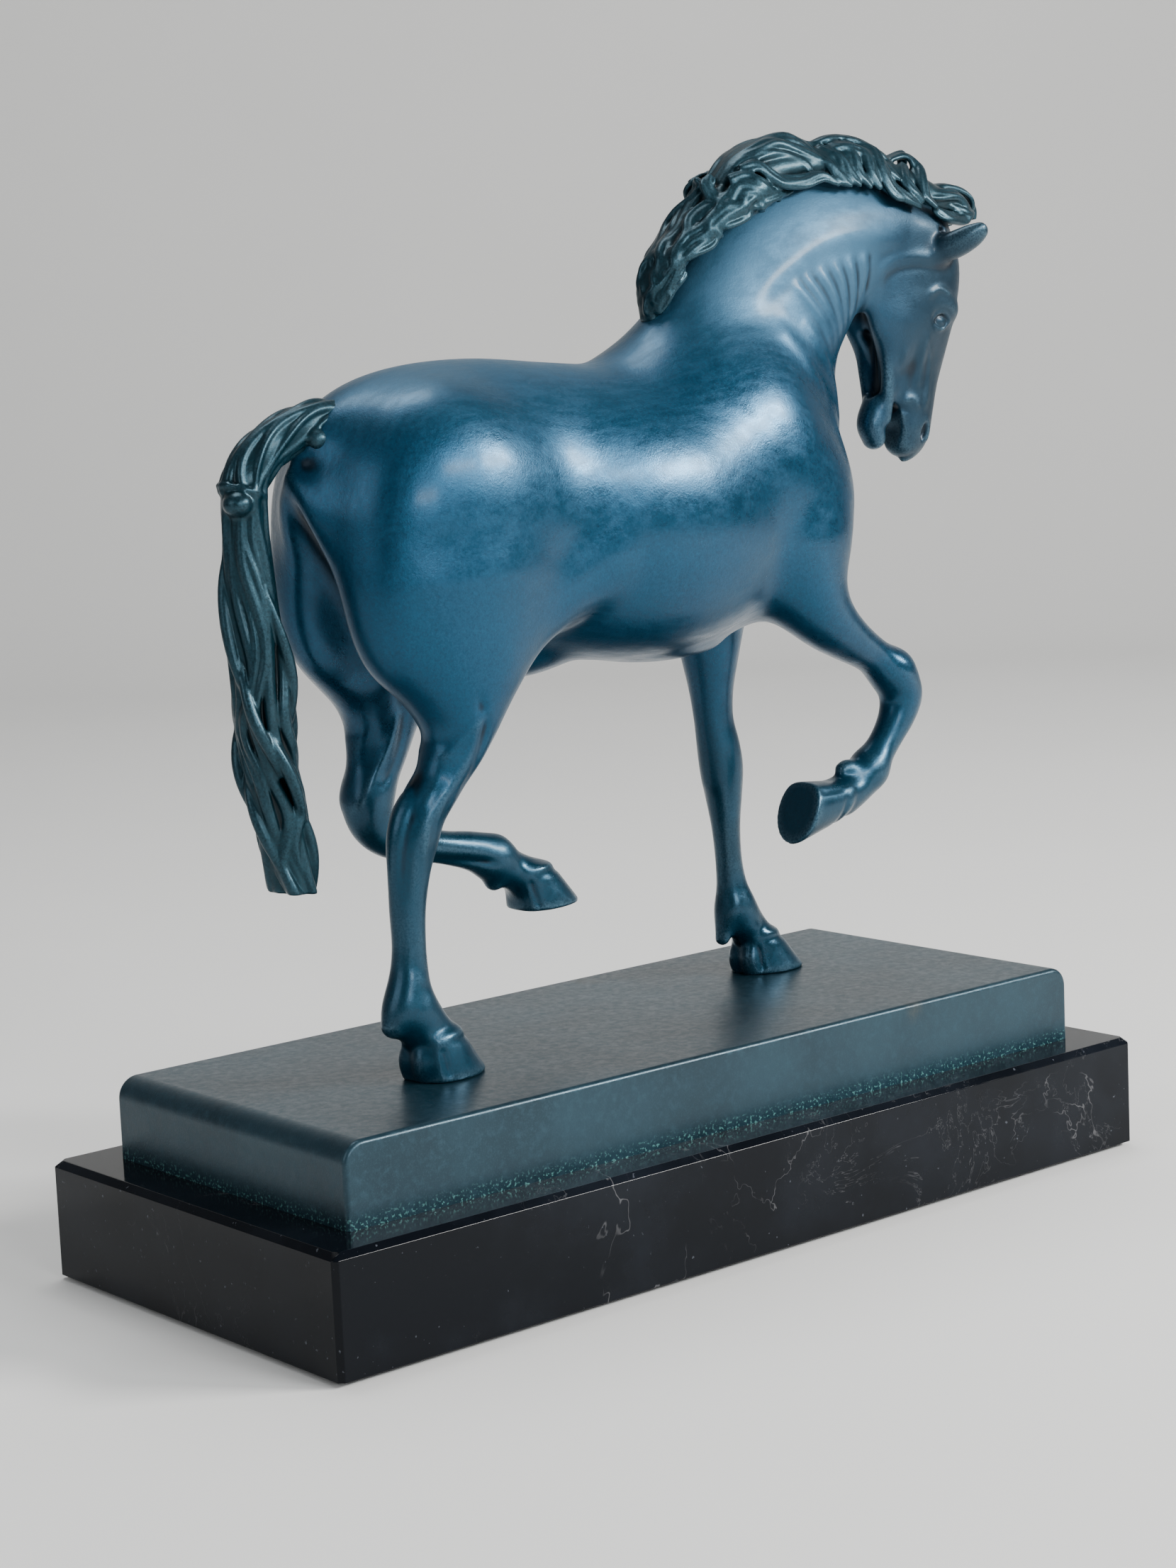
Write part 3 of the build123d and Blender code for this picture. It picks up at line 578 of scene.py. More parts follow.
def lock(clay, path, width=1.9, strands=4, blend=0.25):
    """A lock of hair along a path of (x, y, z) points: strands side by side that swell in the middle and
    close to a point at the end."""
    middle = smooth_rows(path, 4)
    t = np.linspace(0, 1, len(middle))
    along = np.gradient(middle, axis=0)
    along /= np.linalg.norm(along, axis=1)[:, None]
    outward = np.stack([np.zeros(len(t)), middle[:, 1], np.full(len(t), 5.0)], 1)
    outward /= np.linalg.norm(outward, axis=1)[:, None]
    across = np.cross(along, outward)
    across /= np.maximum(np.linalg.norm(across, axis=1)[:, None], 1e-6)
    swell = np.sin(np.pi * (0.1 + 0.86 * t)) ** 0.6
    for k in range(strands):
        place = k - (strands - 1) / 2
        weave = 0.16 * width * np.sin(2 * np.pi * (1.3 * t + 0.37 * k + 0.05 * path[0][0]))
        offset = place * width * 0.46 * swell + weave
        rise = 0.2 * width * (1.5 - abs(place)) * swell
        points = middle + across * offset[:, None] + outward * rise[:, None]
        thick = width * (0.17 + 0.19 * swell)
        clay.add(tube(np.c_[points, thick], steps=1), blend)


# The crest under the mane: x, y, z, half depth, half width.
CREST = [
    (17.5, 0, 193, 1.6, 2.4), (19.6, 0, 201, 3, 4.4), (28, 0, 209.4, 3.8, 5.6), (38.4, 0, 216.8, 4.8, 6),
    (50, 0, 222.8, 5.4, 6.4), (63, 0, 224.8, 4.4, 6.2), (76, 0, 225.2, 4.4, 6), (88, 0, 222.8, 4.2, 6),
    (97, 0, 219.6, 5, 6), (107, 0, 216.4, 4.2, 5.4), (114.5, 0, 215.2, 3, 4.4),
]

# Locks on the right side, from the forelock back to the withers.
MANE_LOCKS = [
    ((104, -1, 220.4), (110.5, -1, 220.6), (116.5, -1, 219.2), (119, -1.2, 216.6), (119.4, -1.5, 213.4)),
    ((99, -5, 218.6), (104.6, -5, 218.8), (110, -4.6, 218.4), (113.6, -4.4, 216), (114.6, -4, 213)),
    ((98.5, -8, 215.3), (103, -8, 213.6), (108, -7, 212.9), (112.5, -6, 213.4)),
    ((104, -3.6, 217.4), (108.5, -4.6, 216), (112, -5.4, 214.6), (115.5, -4.4, 214.8)),
    ((91.6, -1, 226.6), (96.8, -1, 227.6), (99, -3, 225), (97, -6, 221.6), (96.2, -8, 218),
     (98.6, -9, 215.6)),
    ((88.6, -3, 226.4), (84.6, -6, 223.8), (85.4, -8, 220.2), (89.2, -9, 217.6), (93, -9.2, 215.6)),
    ((94, -3, 225.6), (91, -6, 222.6), (91.6, -8, 219.6), (94.4, -8.8, 217)),
    ((80, -1, 230.6), (83.6, -4, 228.4), (82.8, -7.2, 223.8), (84.2, -9, 219.4), (87, -9.6, 217.4)),
    ((76.6, -1.5, 230.4), (79.4, -5, 227.6), (79, -7.6, 223.4), (80.6, -9, 219.8)),
    ((71.6, -1.5, 230.4), (75.4, -5, 227.6), (75.2, -7.4, 223.4), (77.4, -9, 220)),
    ((68, -2.5, 229.2), (71.4, -5.6, 226.6), (72, -7.6, 223), (74, -9, 220.4)),
    ((64.6, -4, 227.2), (67, -6, 225.4), (68.8, -7.8, 222.4), (71.2, -9, 220.4)),
    ((51, -1.5, 229.2), (57, -1, 231), (62.4, -2, 230), (65.4, -4, 227), (64.6, -5.6, 224.8)),
    ((37.2, -3.4, 220.8), (42, -3.6, 225.4), (49.3, -4, 227.8), (56, -4, 227.4), (60, -5.4, 225.4),
     (61.4, -6.4, 223.6)),
    ((40.4, -6, 224.2), (45, -6.4, 224.8), (48, -7.4, 222.6), (51, -8.2, 221), (56.8, -8.4, 221.2),
     (63, -8, 222.6), (67.6, -8.6, 220.8)),
    ((36.5, -6.6, 221.8), (41.2, -7, 222.4), (45.2, -8, 220.4), (48, -8.8, 218.6), (53.7, -9, 218.6),
     (59.8, -9, 219.8)),
    ((35.3, -8, 217.6), (37.6, -7.8, 220), (42.4, -8.2, 220), (44.8, -8.8, 218), (41, -9.2, 216.6),
     (37.4, -9, 217.4)),
    ((34, -3, 222.6), (30.7, -5.6, 220.6), (31.2, -7.4, 217.8), (35, -8.6, 216), (39.6, -9.2, 215.4)),
    ((37.2, -2, 221.6), (41.4, -2.2, 225.6), (47, -3.4, 228.2), (53.6, -3, 230), (60, -4, 228.6),
     (65.6, -5.4, 226.4)),
    ((37.4, -0.6, 222), (42.6, -0.6, 226.6), (50, -0.8, 229.4), (57.4, 0.6, 231.2), (64, 0, 229.8),
     (70, -1, 229.4)),
    ((66, 0.4, 229.4), (71, -1, 231), (76, 0, 231.4), (81.6, -1, 230.6), (87, -2.4, 228), (90, -4, 225)),
    ((69, -3, 228.6), (74.6, -3.8, 229.4), (80, -4.4, 228), (85, -6, 224.8), (88, -7.6, 221.8)),
    ((11.8, -8.6, 194), (13.6, -9.4, 198), (17.2, -9.6, 200.6), (21.4, -9.6, 202.6)),
    ((11.4, -6.6, 193.8), (11.4, -7.6, 198.4), (13.4, -8.4, 201.6)),
]
CREST_START = 37  # locks that start behind this follow the sections below

# The mane's level sections behind the crest: height, rear edge and front edge as seen from the right
# rear, and half width.
MANE_SECTIONS = np.array((
    (193.5, 14.6, 20, 2.6), (201, 14.6, 26.6, 5.2), (206.6, 16.4, 33, 7), (209.2, 19.6, 37, 7.6),
    (214.6, 24.6, 46, 8.6), (220, 30.4, 60, 9.2),
))
VIEW_SLOPE = 0.97  # how much a point further to the right shows as further forward


def section(z):
    """Rear edge, front edge and half width of the mane at a height."""
    return (float(np.interp(z, MANE_SECTIONS[:, 0], MANE_SECTIONS[:, k])) for k in (1, 2, 3))


def fade(z, low, high):
    """1 below a band of heights, 0 above it."""
    return float(np.interp(z, (low, high), (1, 0)))


def on_section(point):
    """A lock's point behind the crest, moved onto the mane's own section at that height."""
    x, y, z = point
    seen = x - VIEW_SLOPE * y
    rear, front, wide = section(z)
    middle, half = (rear + front) / 2, (front - rear) / 2
    deep = math.sqrt(max(half**2 - (VIEW_SLOPE * wide) ** 2, 1))
    turned = math.atan2(VIEW_SLOPE * wide, deep)
    turned += math.acos(max(-1, min(1, (seen - middle) / math.hypot(deep, VIEW_SLOPE * wide))))
    moved = np.array((middle + deep * math.cos(turned), -wide * math.sin(turned), z))
    share = fade(z, 219, 223)
    return tuple(moved * share + np.array(point) * (1 - share))


# Long locks behind the crest: how far across the mane each one starts and ends (0 is the rear edge, 1 the
# front edge), where it starts and ends in height, and the width and the phase of its waves.
LONG_LOCKS = (
    (0.06, 0.1, 222, 196, 0.04, 0.1), (0.2, 0.24, 221, 194.5, 0.07, 0.5), (0.34, 0.42, 220, 194, 0.09, 0.0),
    (0.48, 0.6, 219, 196, 0.1, 0.35), (0.62, 0.8, 219.5, 197.5, 0.1, 0.7), (0.74, 0.94, 218, 203, 0.09, 0.1),
    (0.84, 1, 218.6, 209, 0.08, 0.5), (0.93, 1.03, 219.6, 213, 0.05, 0.2),
)


def long_lock(start, end, top, foot, wide, phase, side):
    """The path of a long lock on one side of the mane."""
    path = []
    for t in np.linspace(0, 1, 9):
        z = top + (foot - top) * t
        rear, front, _ = section(z)
        across = start + (end - start) * t + wide * math.sin(2 * math.pi * (1.9 * t + phase))
        seen = rear + min(max(across, 0.02), 1) * (front - rear)
        x, y, z = on_section((seen, 0, z))
        path.append((x, y * -side, z))
    return path


def lean(path):
    """The left side of the mane, moved forward onto the neck."""
    return [(x + (VIEW_SLOPE * abs(y) + 1.5) * fade(z, 212, 221), y, z) for x, y, z in path]


def mane(cell):
    clay = Clay((6, -17, 186), (126, 17, 236), cell)
    clay.add(tube(CREST, steps=4))
    for spec in LONG_LOCKS:
        lock(clay, long_lock(*spec, -1), 2.1)
        lock(clay, lean(long_lock(*spec[:5], spec[5] + 0.4, 1)), 2.1)
    for k, path in enumerate(MANE_LOCKS):
        if path[0][0] < CREST_START:
            path = [on_section(p) for p in path]
        lock(clay, path)
        # the other side falls the same way, but not lock for lock
        shift = 1.1 * math.sin(2.1 * k)
        lock(clay, lean([(x + abs(shift), -y * 0.96, z + 0.5 * shift) for x, y, z in path]), 2, 3 + k % 2)
    return clay


# The middle of the tail below its band: x, z, half depth, half width.
TAIL_FALL = [
    (-88.8, 163, 4.6, 4.4), (-89, 154, 4.6, 4.6), (-88.8, 144, 5, 5.2), (-87.8, 130, 5.7, 6.2),
    (-87.6, 119, 5.8, 6.6), (-86.6, 110, 5.7, 6.4), (-85.4, 101, 5.3, 6), (-84, 92, 4.8, 5.2),
    (-82.6, 83, 4.3, 4.6), (-81.4, 74, 3.8, 4), (-81.1, 72, 3.7, 4),
]
# The dock, from the rump to the band: x, z, radius.
TAIL_DOCK = [
    (-60, 172.4, 3.6), (-66, 174.6, 4.3), (-71, 175, 4.5), (-77, 173.4, 4.6), (-83, 170.4, 4.7),
    (-87.6, 166, 4.8), (-89.4, 161.5, 4.6),
]
TAIL_CORE = 0.74  # the size of the smooth core below the strands, against the whole tail
DOCK_CORE = 0.86
TAIL_STRANDS = 10
DOCK_STRANDS = 12
TAIL_LOCKS = 14
TAIL_END = 74.5  # the height of the flat cut that sits on the plinth


def wave(turns, t, phase):
    return np.sin(2 * np.pi * (turns * t + phase))


def tail(cell):
    clay = Clay((-101, -12, 70), (-60, 12, 184), cell)
    clay.add(tube([(x, 0, z, TAIL_CORE * a, TAIL_CORE * b) for x, z, a, b in TAIL_FALL]))
    clay.add(tube([(x, 0, z, DOCK_CORE * r) for x, z, r in TAIL_DOCK]), 1)
    fall = smooth_rows(TAIL_FALL, 3)
    t = np.linspace(0, 1, len(fall))

    def strand(rows, out, angle, thick, blend):
        """A strand at some angle around the tail; out is 1 on the tail's outline."""
        x = rows[:, 0] + rows[:, 2] * out * np.cos(angle)
        y = rows[:, 3] * out * np.sin(angle)
        clay.add(tube(np.c_[x, y, rows[:, 1], thick], steps=2), blend)

    # strands in pairs down the whole tail
    for k in range(TAIL_STRANDS):
        swing = 0.5 * wave(3.1, t, 0.07 * k) + 0.2 * wave(5.3, t, 0.31 * k)
        angle = 2 * np.pi * k / TAIL_STRANDS + 0.6 * t + swing * (0.25 + 0.75 * t)
        out = 0.82 + 0.12 * wave(2.1, t, 0.43 * k) * t
        for apart in (-0.14, 0.14):
            turned = angle + apart * (1 + 0.4 * np.sin(9 * t + k))
            strand(fall, out, turned, 0.85 + 0.3 * wave(1.6, t, 0.29 * k + 2 * apart), 0.2)
    # short locks that leave the tail low down
    for k in range(TAIL_LOCKS):
        start = 3 + int(1.5 * k)
        rows = fall[start:start + 8]
        u = np.linspace(0, 1, len(rows))
        swell = np.sin(np.pi * u)
        strand(rows, 0.86 + 0.2 * swell, 2.4 * k + 1.1 * u, 0.5 + 0.8 * swell, 0.3)
    # strands wound slantwise on the dock
    dock = smooth_rows(TAIL_DOCK, 3)
    v = np.linspace(0, 1, len(dock))
    slope = np.gradient(dock[:, :2], axis=0)
    slope /= np.linalg.norm(slope, axis=1)[:, None]
    r = dock[:, 2] * DOCK_CORE
    for k in range(DOCK_STRANDS):
        angle = 2 * np.pi * k / DOCK_STRANDS + 1.5 * v + 0.2 * wave(1.6, v, 0.3 * k)
        x = dock[:, 0] - slope[:, 1] * r * np.cos(angle)
        z = dock[:, 1] + slope[:, 0] * r * np.cos(angle)
        clay.add(tube(np.c_[x, r * np.sin(angle), z, 0.75 + 0.25 * np.sin(5 * v + k)], steps=2), 0.3)
    # the band around the top of the fall, the boss on it, and the knot where the dock leaves the rump
    ring = np.linspace(0, 2 * np.pi, 17)
    band = [(-89.4 + 4.4 * math.cos(a), 4.4 * math.sin(a), 162.4 - 1.6 * math.cos(a), 0.55) for a in ring]
    clay.add(tube(band, steps=1), 0.6)
    clay.add(lump((-92.2, -2.6, 160.2), (2.9, 2.9, 2.5)), 0.9)
    clay.add(lump((-73.6, -4.2, 171.6), (2.2, 1.6, 1.9)), 0.8)
    clay.clip((0, 0, TAIL_END), (-0.1, 0, -1))
    return clay


# ---------------------------------------------------------------- pieces

# Joints between the castings: a point on the joint and the direction in which the next casting leaves.
NECK_JOINT = ((57, 0, 187.5), (0.6, 0, 0.8))
HEAD_JOINT = ((83, 0, 203), (0.972, 0, -0.231))
LEG_JOINTS = {
    "right_hind": ((-46, -13, 121), (-0.1, 0, -1)),
    "left_hind": ((-46, 13, 121), (-0.1, 0, -1)),
    "left_fore": ((44, 13, 122), (-0.05, 0, -1)),
    "right_fore": ((55, -14, 125), (0.8, 0, -0.6)),
}
LEG_REACH = {"right_hind": 24, "left_hind": 24, "left_fore": 11, "right_fore": 11}  # how far each cut extends
LEG_BOXES = {  # the corners of the box that each leg is sculpted in
    "right_hind": ((-76, -26, 41), (-30, -1.5, 134)),
    "left_hind": ((-68, 1.5, 62), (6, 26, 134)),
    "left_fore": ((30, 3, 41), (71, 24, 136)),
    "right_fore": ((32, -25, 72), (86, -4, 140)),
}
HEAD_BOTTOM = 190  # a box that ends below this needs no head
HOOF_TOP = 100  # a box that starts above this needs no hooves
RELIEF_SPREADS = {"wear": 1.1, "form": 3.2}  # how wide the surroundings are that a point is compared with
HAIR_SMOOTHING = 0.03
COARSENESS = 1.0


def new_object(name, data):
    obj = bpy.data.objects.new(name, data)
    bpy.context.scene.collection.objects.link(obj)
    return obj


def new_piece(name, mesh, node, finish_slot, material):
    """Puts a finished mesh in the place of a CAD node."""
    mesh.materials.append(material)
    obj = new_object(name, mesh)
    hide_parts(node)
    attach(obj, "root")
    return obj


def connected(start, neighbours):
    """Everything that can be reached from a start by going from neighbour to neighbour."""
    reached, queue = set(start), list(start)
    while queue:
        for other in neighbours(queue.pop()):
            if other not in reached:
                reached.add(other)
                queue.append(other)
    return reached


def split_at(bm, joint, reach, keep_beyond):
    """Cuts along a joint's plane, drops the side that isn't kept and caps the opening. With a reach, only
    what lies that near to the joint's centre, and on its side of the middle plane, is cut."""
    centre, normal = Vector(joint[0]), Vector(joint[1]).normalized()

    def near(v):
        return reach is None or ((v - centre).length < reach and v.y * centre.y > 0)

    def beyond(f):
        return (f.calc_center_median() - centre).dot(normal) * (-1 if keep_beyond else 1)

    geometry = {f for f in bm.faces if near(f.calc_center_median())}
    geometry.update([part for f in geometry for part in (*f.edges, *f.verts)])
    found = bmesh.ops.bisect_plane(bm, geom=list(geometry), dist=1e-5, plane_co=centre, plane_no=normal)
    rim = {e for e in found["geom_cut"] if isinstance(e, bmesh.types.BMEdge)}
    dropped = connected({f for e in rim for f in e.link_faces if beyond(f) > 0},
                        lambda f: [g for e in f.edges if e not in rim for g in e.link_faces])
    bmesh.ops.delete(bm, geom=list(dropped), context="FACES")
    bmesh.ops.holes_fill(bm, edges=[e for e in rim if e.is_valid], sides=0)


def keep_largest_part(bm):
    """Keeps the biggest connected part of a mesh."""
    rest, largest = set(bm.verts), set()
    while rest:
        part = connected({next(iter(rest))}, lambda v: [e.other_vert(v) for e in v.link_edges])
        rest -= part
        if len(part) > len(largest):
            largest = part
    bmesh.ops.delete(bm, geom=[v for v in bm.verts if v not in largest], context="VERTS")


def casting(name, clay, cuts, finish_slot, material):
    """One sculpted casting: its mesh with the joints cut flat, its normals, and its relief for the finish."""
    points, quads = clay.quads()
    mesh = bpy.data.meshes.new(name)
    mesh.from_pydata(points.tolist(), [], quads[:, ::-1].tolist())
    bm = bmesh.new()
    bm.from_mesh(mesh)
    for joint, reach, keep_beyond in cuts:
        split_at(bm, joint, reach, keep_beyond)
    keep_largest_part(bm)
    bmesh.ops.recalc_face_normals(bm, faces=bm.faces)
    bm.to_mesh(mesh)
    bm.free()
    co = np.zeros(len(mesh.vertices) * 3)
    mesh.vertices.foreach_get("co", co)
    co = co.reshape(-1, 3)
    for label, spread in RELIEF_SPREADS.items():
        relief = mesh.attributes.new(label, "FLOAT", "POINT")
        relief.data.foreach_set("value", clay.relief(co, spread).astype(np.float32))
    mesh.polygons.foreach_set("use_smooth", [True] * len(mesh.polygons))
    normals = clay.normals(co)[np.array([loop.vertex_index for loop in mesh.loops])]
    for polygon in mesh.polygons:
        if len(polygon.vertices) > 4:  # the cap of a cut
            normals[list(polygon.loop_indices)] = polygon.normal
    mesh.normals_split_custom_set(normals.tolist())
    mesh.transform(Matrix.Scale(MM, 4))
    new_piece(name, mesh, name + "_casting", finish_slot, material)


def sculpt(low, high, cell, head_only=False):
    """The horse without its hair, as far as it reaches into a box."""
    clay = Clay(low, high, cell * COARSENESS)
    if not head_only:
        trunk_shapes(clay)
    neck_shapes(clay)
    if not head_only:
        limb_shapes(clay)
    clay.blur(BODY_SMOOTHING)
    if high[2] > HEAD_BOTTOM:
        head_shapes(clay)
        ears(clay)
    if low[2] < HOOF_TOP:
        hoof_shapes(clay)
    skin_and_face(clay)
    clay.blur()
    return clay


def build_castings(bronze, hair_bronze):
    finish = ("blue_patina_bronze", bronze)
    leg_cuts = [(joint, LEG_REACH[which], False) for which, joint in LEG_JOINTS.items()]
    casting("trunk", sculpt((-82, -31, 108), (76, 31, 206), 0.66),
            [(NECK_JOINT, None, False)] + leg_cuts, *finish)
    casting("neck", sculpt((8, -26, 160), (100, 26, 230), 0.45),
            [(NECK_JOINT, None, True), (HEAD_JOINT, None, False)], *finish)
    casting("head", sculpt((70, -21, 154), (112, 21, 226), 0.32, head_only=True),
            [(HEAD_JOINT, None, True)], *finish)
    for which, (low, high) in LEG_BOXES.items():
        casting(which + "_leg", sculpt(low, high, 0.4),
                [(LEG_JOINTS[which], LEG_REACH[which], True)], *finish)
    for name, clay in (("mane", mane(0.36 * COARSENESS)), ("tail", tail(0.3 * COARSENESS))):
        clay.blur(HAIR_SMOOTHING)
        casting(name, clay, [], "dark_patina_bronze", hair_bronze)


# ---------------------------------------------------------------- materials


class Nodes:
    """A material's node tree, with short names for the nodes that the finishes use."""

    def __init__(self, name):
        self.material = bpy.data.materials.new(name)
        self.material.use_nodes = True
        self.tree = self.material.node_tree
        self.tree.nodes.clear()
        self.shader = self.node("BsdfPrincipled")
        self.node("OutputMaterial", Surface=self.shader.outputs[0])
        self.place = self.node("TexCoord").outputs["Object"]

    def feed(self, socket, value):
        """Gives a socket a number or a colour, or links it to the output of another node."""
        if isinstance(value, bpy.types.NodeSocket):
            self.tree.links.new(value, socket)
        elif socket.type == "RGBA":
            socket.default_value = (*value, 1)
        else:
            socket.default_value = value

    def node(self, kind, **values):
        node = self.tree.nodes.new("ShaderNode" + kind)
        self.fill(node, **values)
        return node

    def fill(self, node, **values):
        for name, value in values.items():
            self.feed(node.inputs[name.replace("_", " ")], value)

    def finish(self, **values):
        self.fill(self.shader, **values)
        return self.material

    def noise(self, scale, detail, roughness, distortion=0.0, stretch=None):
        place = self.place
        if stretch:
            place = self.node("Mapping", Vector=place, Scale=stretch).outputs["Vector"]
        return self.node("TexNoise", Vector=place, Scale=scale, Detail=detail, Roughness=roughness,
                         Distortion=distortion).outputs["Fac"]

    def attribute(self, name):
        node = self.node("Attribute")
        node.attribute_name = name
        return node.outputs["Fac"]

    def axis(self, which):
        return self.node("SeparateXYZ", Vector=self.place).outputs[which]

    def ramp(self, value, low, high, to_low=0.0, to_high=1.0):
        """Goes smoothly from to_low, where the value is low, to to_high, where it is high."""
        if low > high:
            low, high, to_low, to_high = high, low, to_high, to_low
        node = self.node("MapRange", Value=value, From_Min=low, From_Max=high, To_Min=to_low, To_Max=to_high)
        node.interpolation_type = "SMOOTHSTEP"
        return node.outputs["Result"]

    def math(self, what, a, b=0.0):
        node = self.node("Math")
        node.operation = what
        self.feed(node.inputs[0], a)
        self.feed(node.inputs[1], b)
        return node.outputs[0]

    def plus(self, a, b):
        return self.math("ADD", a, b)

    def times(self, a, b):
        return self.math("MULTIPLY", a, b)

    def blend(self, share, a, b):
        node = self.node("Mix", Factor=share)
        node.data_type = "RGBA"
        self.feed(node.inputs[6], a)
        self.feed(node.inputs[7], b)
        return node.outputs[2]

    def layer(self, colour, over, value, low, high, to_low=0.0, to_high=1.0):
        """Lays a colour over another as far as a ramp says."""
        return self.blend(self.ramp(value, low, high, to_low, to_high), colour, over)

    def bump(self, height, strength, distance, over=None):
        """The normal of a bumpy surface, on its own or over a broader bump."""
        node = self.node("Bump", Height=height, Strength=strength, Distance=distance)
        if over is not None:
            self.feed(node.inputs["Normal"], over)
        return node.outputs["Normal"]


def patina(name, deep, mid, pale, worn, shine, hair=False):
    """Waxed blue patina over bronze: mottled, darker in the fine hollows where patina gathers, painted shade
    in the broad hollows, rubbed pale on what stands out.
    """
    n = Nodes(name)
    x, z = n.axis("X"), n.axis("Z")
    cloud = n.noise(26, 4, 0.6)
    mottle = n.noise(1100, 4, 0.6)
    fleck = n.noise(2300, 3, 0.65)
    colour = n.blend(n.ramp(n.plus(cloud, n.times(n.noise(110, 3, 0.5), 0.3)), 0.45, 0.85, 0.6, 1), deep, mid)
    colour = n.layer(colour, pale, mottle, 0.2, 0.9, 0.1, 0.5)
    colour = n.layer(colour, pale, fleck, 0.5, 0.75, 0, 0.4)
    colour = n.layer(colour, deep, fleck, 0.5, 0.3, 0, 0.3)
    if not hair:
        # the neck's patina is greyer and duller; the back is duller and painted paler, a painted top light
        neck = n.ramp(n.plus(z, n.times(cloud, 0.02)), 0.186, 0.214, 0, 0.62)
        # painted top light: the back is painted paler towards its top
        back = n.times(n.ramp(z, 0.168, 0.188, 0, 0.5), n.ramp(x, 0.02, -0.01))
        slate_and_top_light = n.math("MAXIMUM", n.times(neck, n.ramp(x, 0.09, 0.074)), back)
        colour = n.blend(slate_and_top_light, colour, (0.05, 0.135, 0.215))
        # the head and the legs are darker
        face = n.times(n.ramp(x, 0.066, 0.1, 0, 0.86), n.ramp(z, 0.145, 0.16))
        colour = n.blend(face, colour, (0.002, 0.018, 0.032))
        colour = n.layer(colour, (0.002, 0.03, 0.048), z, 0.12, 0.085, 0, 0.6)
    wear, form = n.attribute("wear"), n.attribute("form")
    dark = tuple(0.35 * c for c in deep)
    colour = n.layer(colour, dark, wear, -0.02, -0.28 if hair else -0.2, 0, 0.85)
    # painted shade: the broad hollows are darkened further, where shade would fall
    colour = n.layer(colour, dark, form, -0.1, -1.4, 0, 0.5)
    rub = n.times(n.ramp(wear, 0.06, 0.42), n.ramp(fleck, 0.3, 0.65))
    colour = n.blend(n.times(rub, 0.35 if hair else 0.45), colour, worn)
    scratch = n.noise(900, 4, 0.6, 0.2, stretch=(0.16, 1, 0.3))
    rough = n.ramp(cloud, 0.3, 0.7, shine - 0.03, shine + 0.09)
    rough = n.plus(rough, n.ramp(mottle, 0.3, 0.7, -0.015, 0.02))
    rough = n.plus(rough, n.ramp(scratch, 0.35, 0.65, -0.04, 0.05))
    if not hair:
        rough = n.plus(n.plus(rough, n.times(slate_and_top_light, 0.36)), n.times(face, 0.12))
    wave = n.bump(n.noise(160, 3, 0.5), 0.1, 0.0012)
    grain = n.bump(n.plus(n.times(scratch, 0.5), fleck), 0.16, 0.00022, over=wave)
    return n.finish(Base_Color=colour, Roughness=rough, Metallic=0.64, Normal=grain,
                    Coat_Weight=0.04 if hair else 0.1, Coat_Roughness=0.18)


def plinth_patina():
    """A darker patina, with verdigris along the foot of the sides and brown rubbed patches."""
    n = Nodes("plinth_patina")
    cloud = n.noise(22, 5, 0.6)
    mottle = n.noise(520, 6, 0.7, 0.3)
    fleck = n.noise(2400, 3, 0.65)
    colour = n.blend(n.ramp(cloud, 0.35, 0.68), (0.005, 0.024, 0.037), (0.011, 0.042, 0.062))
    colour = n.layer(colour, (0.024, 0.068, 0.095), mottle, 0.45, 0.75, 0, 0.5)
    colour = n.layer(colour, (0.032, 0.078, 0.105), fleck, 0.5, 0.75, 0, 0.35)
    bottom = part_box("plinth_casting")[0].z
    foot = n.ramp(n.axis("Z"), bottom + 0.0035, bottom + 0.0002)
    specks = n.ramp(n.noise(1500, 2, 0.5), 0.55, 0.66)
    colour = n.blend(n.times(n.times(foot, specks), 0.7), colour, (0.16, 0.42, 0.4))
    brown = n.times(n.ramp(n.noise(34, 2, 0.4), 0.67, 0.76, 0, 0.6), n.ramp(mottle, 0.35, 0.6))
    colour = n.blend(brown, colour, (0.09, 0.075, 0.05))
    wave = n.bump(n.noise(70, 3, 0.5), 0.16, 0.0016)
    grain = n.bump(n.plus(fleck, mottle), 0.14, 0.0002, over=wave)
    return n.finish(Base_Color=colour, Roughness=n.ramp(mottle, 0.3, 0.75, 0.3, 0.46), Metallic=0.5,
                    Normal=grain, Coat_Weight=0.12, Coat_Roughness=0.25)


def marble():
    """Polished black marble with broad veins, fine veins and small pale specks."""
    n = Nodes("black_marble")
    colour = n.blend(n.ramp(n.noise(30, 5, 0.6), 0.4, 0.7), (0.002, 0.003, 0.005), (0.006, 0.008, 0.012))
    vein = n.math("ABSOLUTE", n.math("SUBTRACT", n.noise(13, 6, 0.62, 0.5), 0.5))
    vein = n.times(n.ramp(vein, 0.0028, 0), n.ramp(n.noise(60, 3, 0.5), 0.44, 0.62))
    fine = n.math("ABSOLUTE", n.math("SUBTRACT", n.noise(34, 6, 0.65, 0.8), 0.52))
    fine = n.times(n.ramp(fine, 0.0035, 0, 0, 0.5), n.ramp(n.noise(26, 3, 0.5), 0.5, 0.62))
    colour = n.blend(n.math("MAXIMUM", vein, fine), colour, (0.085, 0.085, 0.09))
    colour = n.blend(n.ramp(n.noise(900, 2, 0.5), 0.7, 0.76, 0, 0.25), colour, (0.2, 0.22, 0.26))
    return n.finish(Base_Color=colour, Roughness=n.ramp(n.noise(300, 4, 0.6), 0.3, 0.7, 0.06, 0.13),
                    Specular_IOR_Level=0.14, Normal=n.bump(n.noise(700, 2, 0.5), 0.02, 0.0002))


